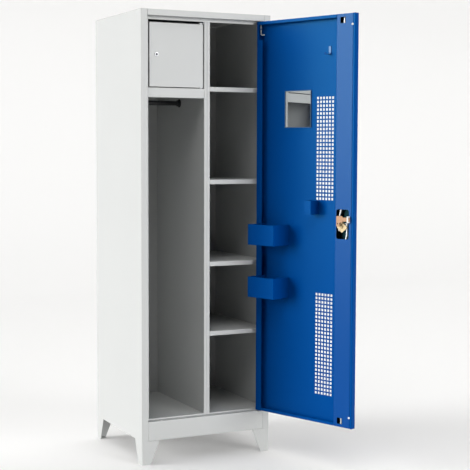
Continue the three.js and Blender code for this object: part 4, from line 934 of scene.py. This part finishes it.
class LOCKER_OT_stage(bpy.types.Operator):
    """Set up the floor, the backdrop, the lamps and the camera"""

    bl_idname = "locker.stage"
    bl_label = "Stage"

    FLOOR_SIDE = 26.0
    BACKDROP_HEIGHT = 8.0
    BACKDROP_GAP = 8.0
    CURVE, CURVE_STEPS, CURVE_ANGLE = 3.0, 24, math.radians(60)
    # The paper's own light on the floor and on the wall, and the height from which it counts as wall
    FLOOR_GLOW, WALL_GLOW, WALL_FROM = 0.2, 0.175, 2.4
    FLOOR_SHADE, WALL_SHADE = 0.85, 0.92
    PAPER_ROUGHNESS = 0.9
    # What the floor sends back up, and how bright the air behind it shows
    BOUNCE, SHOWN = 0.5, 1.1
    AIR_COLOUR = (1.0, 0.99, 0.975, 1.0)
    # Gloss finds the air dark in front of the locker and pale behind it
    DARK_WAY, PALE_WAY, DARK_SHARE = -0.05, 0.3, 0.25
    LAMP_REACH = 4.0
    # Turn, rise and spread of each lamp in degrees; turn 0 is straight in front and -90 is on the left
    LAMPS = {
        "side": (-103, 14, 36),
        "key": (26, 8, 30),
        "fill": (-40, 55, 40),
        "back": (165, 62, 70),
        "right": (112, 18, 50),
    }

    def execute(self, context):
        settings = context.scene.locker_stage
        self.floor(settings)
        self.lamps(settings)
        self.air(context.scene, settings)
        self.camera(context.scene)
        context.scene.view_settings.view_transform = "Standard"
        return {"FINISHED"}

    def floor(self, settings):
        """One pale sheet that runs back and curves up behind the locker."""
        deselect()
        bpy.ops.mesh.primitive_plane_add(size=1)
        sheet = started("studio_floor")
        back = CABINET_HIGH[1] + self.BACKDROP_GAP
        sheet.scale = (self.FLOOR_SIDE, self.FLOOR_SIDE, 1)
        sheet.location = (CABINET_FOOT.x, back - self.FLOOR_SIDE / 2, 0)
        settle(sheet)
        points = sheet.data.vertices
        picked(sheet, "EDGE", lambda edge: all(points[i].co.y > back - MM for i in edge.vertices))
        bpy.ops.mesh.extrude_region_move(TRANSFORM_OT_translate={"value": (0, 0, self.BACKDROP_HEIGHT)})
        bpy.ops.object.mode_set(mode="OBJECT")
        rounded(sheet, self.CURVE, self.CURVE_STEPS, self.CURVE_ANGLE)
        smoothed(sheet)
        sheet.data.materials.append(self.paper(settings))
        sheet.visible_shadow = False

    def paper(self, settings):
        """Pale paper that sends little light back up, and has some of its own where it is seen."""
        recipe = Recipe("backdrop_paper")
        here = recipe.node("ShaderNodeTexCoord", output="Object")
        height = recipe.node("ShaderNodeSeparateXYZ", values={"Vector": here}, output=2)
        wall = recipe.node("ShaderNodeMapRange", values={"Value": height, "From Max": self.WALL_FROM})
        glow = self.FLOOR_GLOW + wall * (self.WALL_GLOW - self.FLOOR_GLOW)
        floor_tones = [factor * self.FLOOR_SHADE for factor in PAPER_TONES]
        paper = recipe.uneven(recipe.noise(*PAPER_GRAIN), settings.floor, floor_tones)
        shown = recipe.blend(wall, paper, tone(settings.floor, self.WALL_SHADE))
        seen = recipe.larger(recipe.seen("Camera"), recipe.mirrored())
        recipe.set(
            base_color=recipe.blend(seen, tone(settings.floor, self.BOUNCE), shown),
            roughness=self.PAPER_ROUGHNESS, specular_ior_level=0.0, emission_strength=1.0,
            emission_color=recipe.blend(seen * glow, BLACK, tone(settings.floor, 1.0)),
        )
        return recipe.material

    def lamps(self, settings):
        for name, angles in self.LAMPS.items():
            turn, rise, spread = (math.radians(angle) for angle in angles)
            way = Vector(
                (math.sin(turn) * math.cos(rise), -math.cos(turn) * math.cos(rise), math.sin(rise)))
            deselect()
            bpy.ops.object.light_add(type="SUN", location=CABINET_FOOT + way * self.LAMP_REACH)
            lamp = started(name + "_lamp")
            lamp.data.energy = getattr(settings, name)
            lamp.data.angle = spread
            lamp.rotation_euler = (-way).to_track_quat("-Z", "Y").to_euler()

    def air(self, scene, settings):
        """The pale surroundings: whole to the camera, and dimmer to gloss and glass before the locker."""
        world = bpy.data.worlds.new("studio_air")
        scene.world = world
        world.use_nodes = True
        recipe = Recipe("air", world.node_tree)
        way = recipe.node("ShaderNodeTexCoord", output="Generated")
        behind = recipe.node("ShaderNodeSeparateXYZ", values={"Vector": way}, output=1)
        open_side = recipe.node("ShaderNodeMapRange", values={
            "Value": behind, "From Min": self.DARK_WAY, "From Max": self.PALE_WAY,
            "To Min": self.DARK_SHARE})
        seen = recipe.larger(recipe.seen("Camera"), recipe.mirrored() * open_side)
        shown = recipe.node(
            "ShaderNodeBackground", values={"Color": tone(settings.floor, self.SHOWN), "Strength": 1.0})
        lit = recipe.node(
            "ShaderNodeBackground", values={"Color": self.AIR_COLOUR, "Strength": settings.air})
        mixed = recipe.node("ShaderNodeMixShader", values={0: seen, 1: lit, 2: shown})
        recipe.links.new(mixed.socket, recipe.output.inputs["Surface"])

    def camera(self, scene):
        forward = Vector((
            math.sin(CAMERA_YAW) * math.cos(CAMERA_PITCH),
            math.cos(CAMERA_YAW) * math.cos(CAMERA_PITCH),
            math.sin(CAMERA_PITCH),
        ))
        right = forward.cross(Vector(UPWARD)).normalized()
        up = right.cross(forward)
        rolled_right = right * math.cos(CAMERA_ROLL) + up * math.sin(CAMERA_ROLL)
        rolled_up = up * math.cos(CAMERA_ROLL) - right * math.sin(CAMERA_ROLL)
        deselect()
        bpy.ops.object.camera_add(location=CABINET_FOOT + CAMERA_PLACE)
        camera = started("studio_camera")
        camera.rotation_euler = Matrix((rolled_right, rolled_up, -forward)).transposed().to_euler()
        camera.data.lens = CAMERA_LENS
        camera.data.sensor_width = SENSOR_WIDTH
        camera.data.dof.use_dof = False
        scene.camera = camera


# Panel and registration
class LOCKER_PT_builder(bpy.types.Panel):
    """Lists the locker's steps and settings"""

    bl_idname = "LOCKER_PT_builder"
    bl_label = "Clothes locker"
    bl_space_type = "VIEW_3D"
    bl_region_type = "UI"
    bl_category = "Locker"

    def draw(self, context):
        layout = self.layout
        for step in STEPS:
            layout.operator(step.bl_idname)
        for name, group in SETTINGS.items():
            box = layout.box()
            for setting in group.__annotations__:
                box.prop(getattr(context.scene, name), setting)


SETTINGS = {
    "locker_paint": PaintSettings,
    "locker_metal": MetalSettings,
    "locker_edges": EdgeSettings,
    "locker_stage": StageSettings,
}
STEPS = (
    LOCKER_OT_stage,
    LOCKER_OT_back_panel,
    LOCKER_OT_folded_sheets,
    LOCKER_OT_plates,
    LOCKER_OT_clothes_rail,
    LOCKER_OT_pivots,
    LOCKER_OT_bumpers,
    LOCKER_OT_knob,
    LOCKER_OT_lock_details,
    LOCKER_OT_compartment_lock,
)


def register():
    for group in SETTINGS.values():
        bpy.utils.register_class(group)
    for name, group in SETTINGS.items():
        setattr(bpy.types.Scene, name, bpy.props.PointerProperty(type=group))
    for step in STEPS:
        bpy.utils.register_class(step)
    bpy.utils.register_class(LOCKER_PT_builder)


def unregister():
    bpy.utils.unregister_class(LOCKER_PT_builder)
    for step in reversed(STEPS):
        bpy.utils.unregister_class(step)
    for name in SETTINGS:
        delattr(bpy.types.Scene, name)
    for group in reversed(SETTINGS.values()):
        bpy.utils.unregister_class(group)


def main():
    register()
    make_finishes(bpy.context.scene)
    for step in STEPS:
        group, name = step.bl_idname.split(".")
        getattr(getattr(bpy.ops, group), name)()


if __name__ == "__main__":
    main()
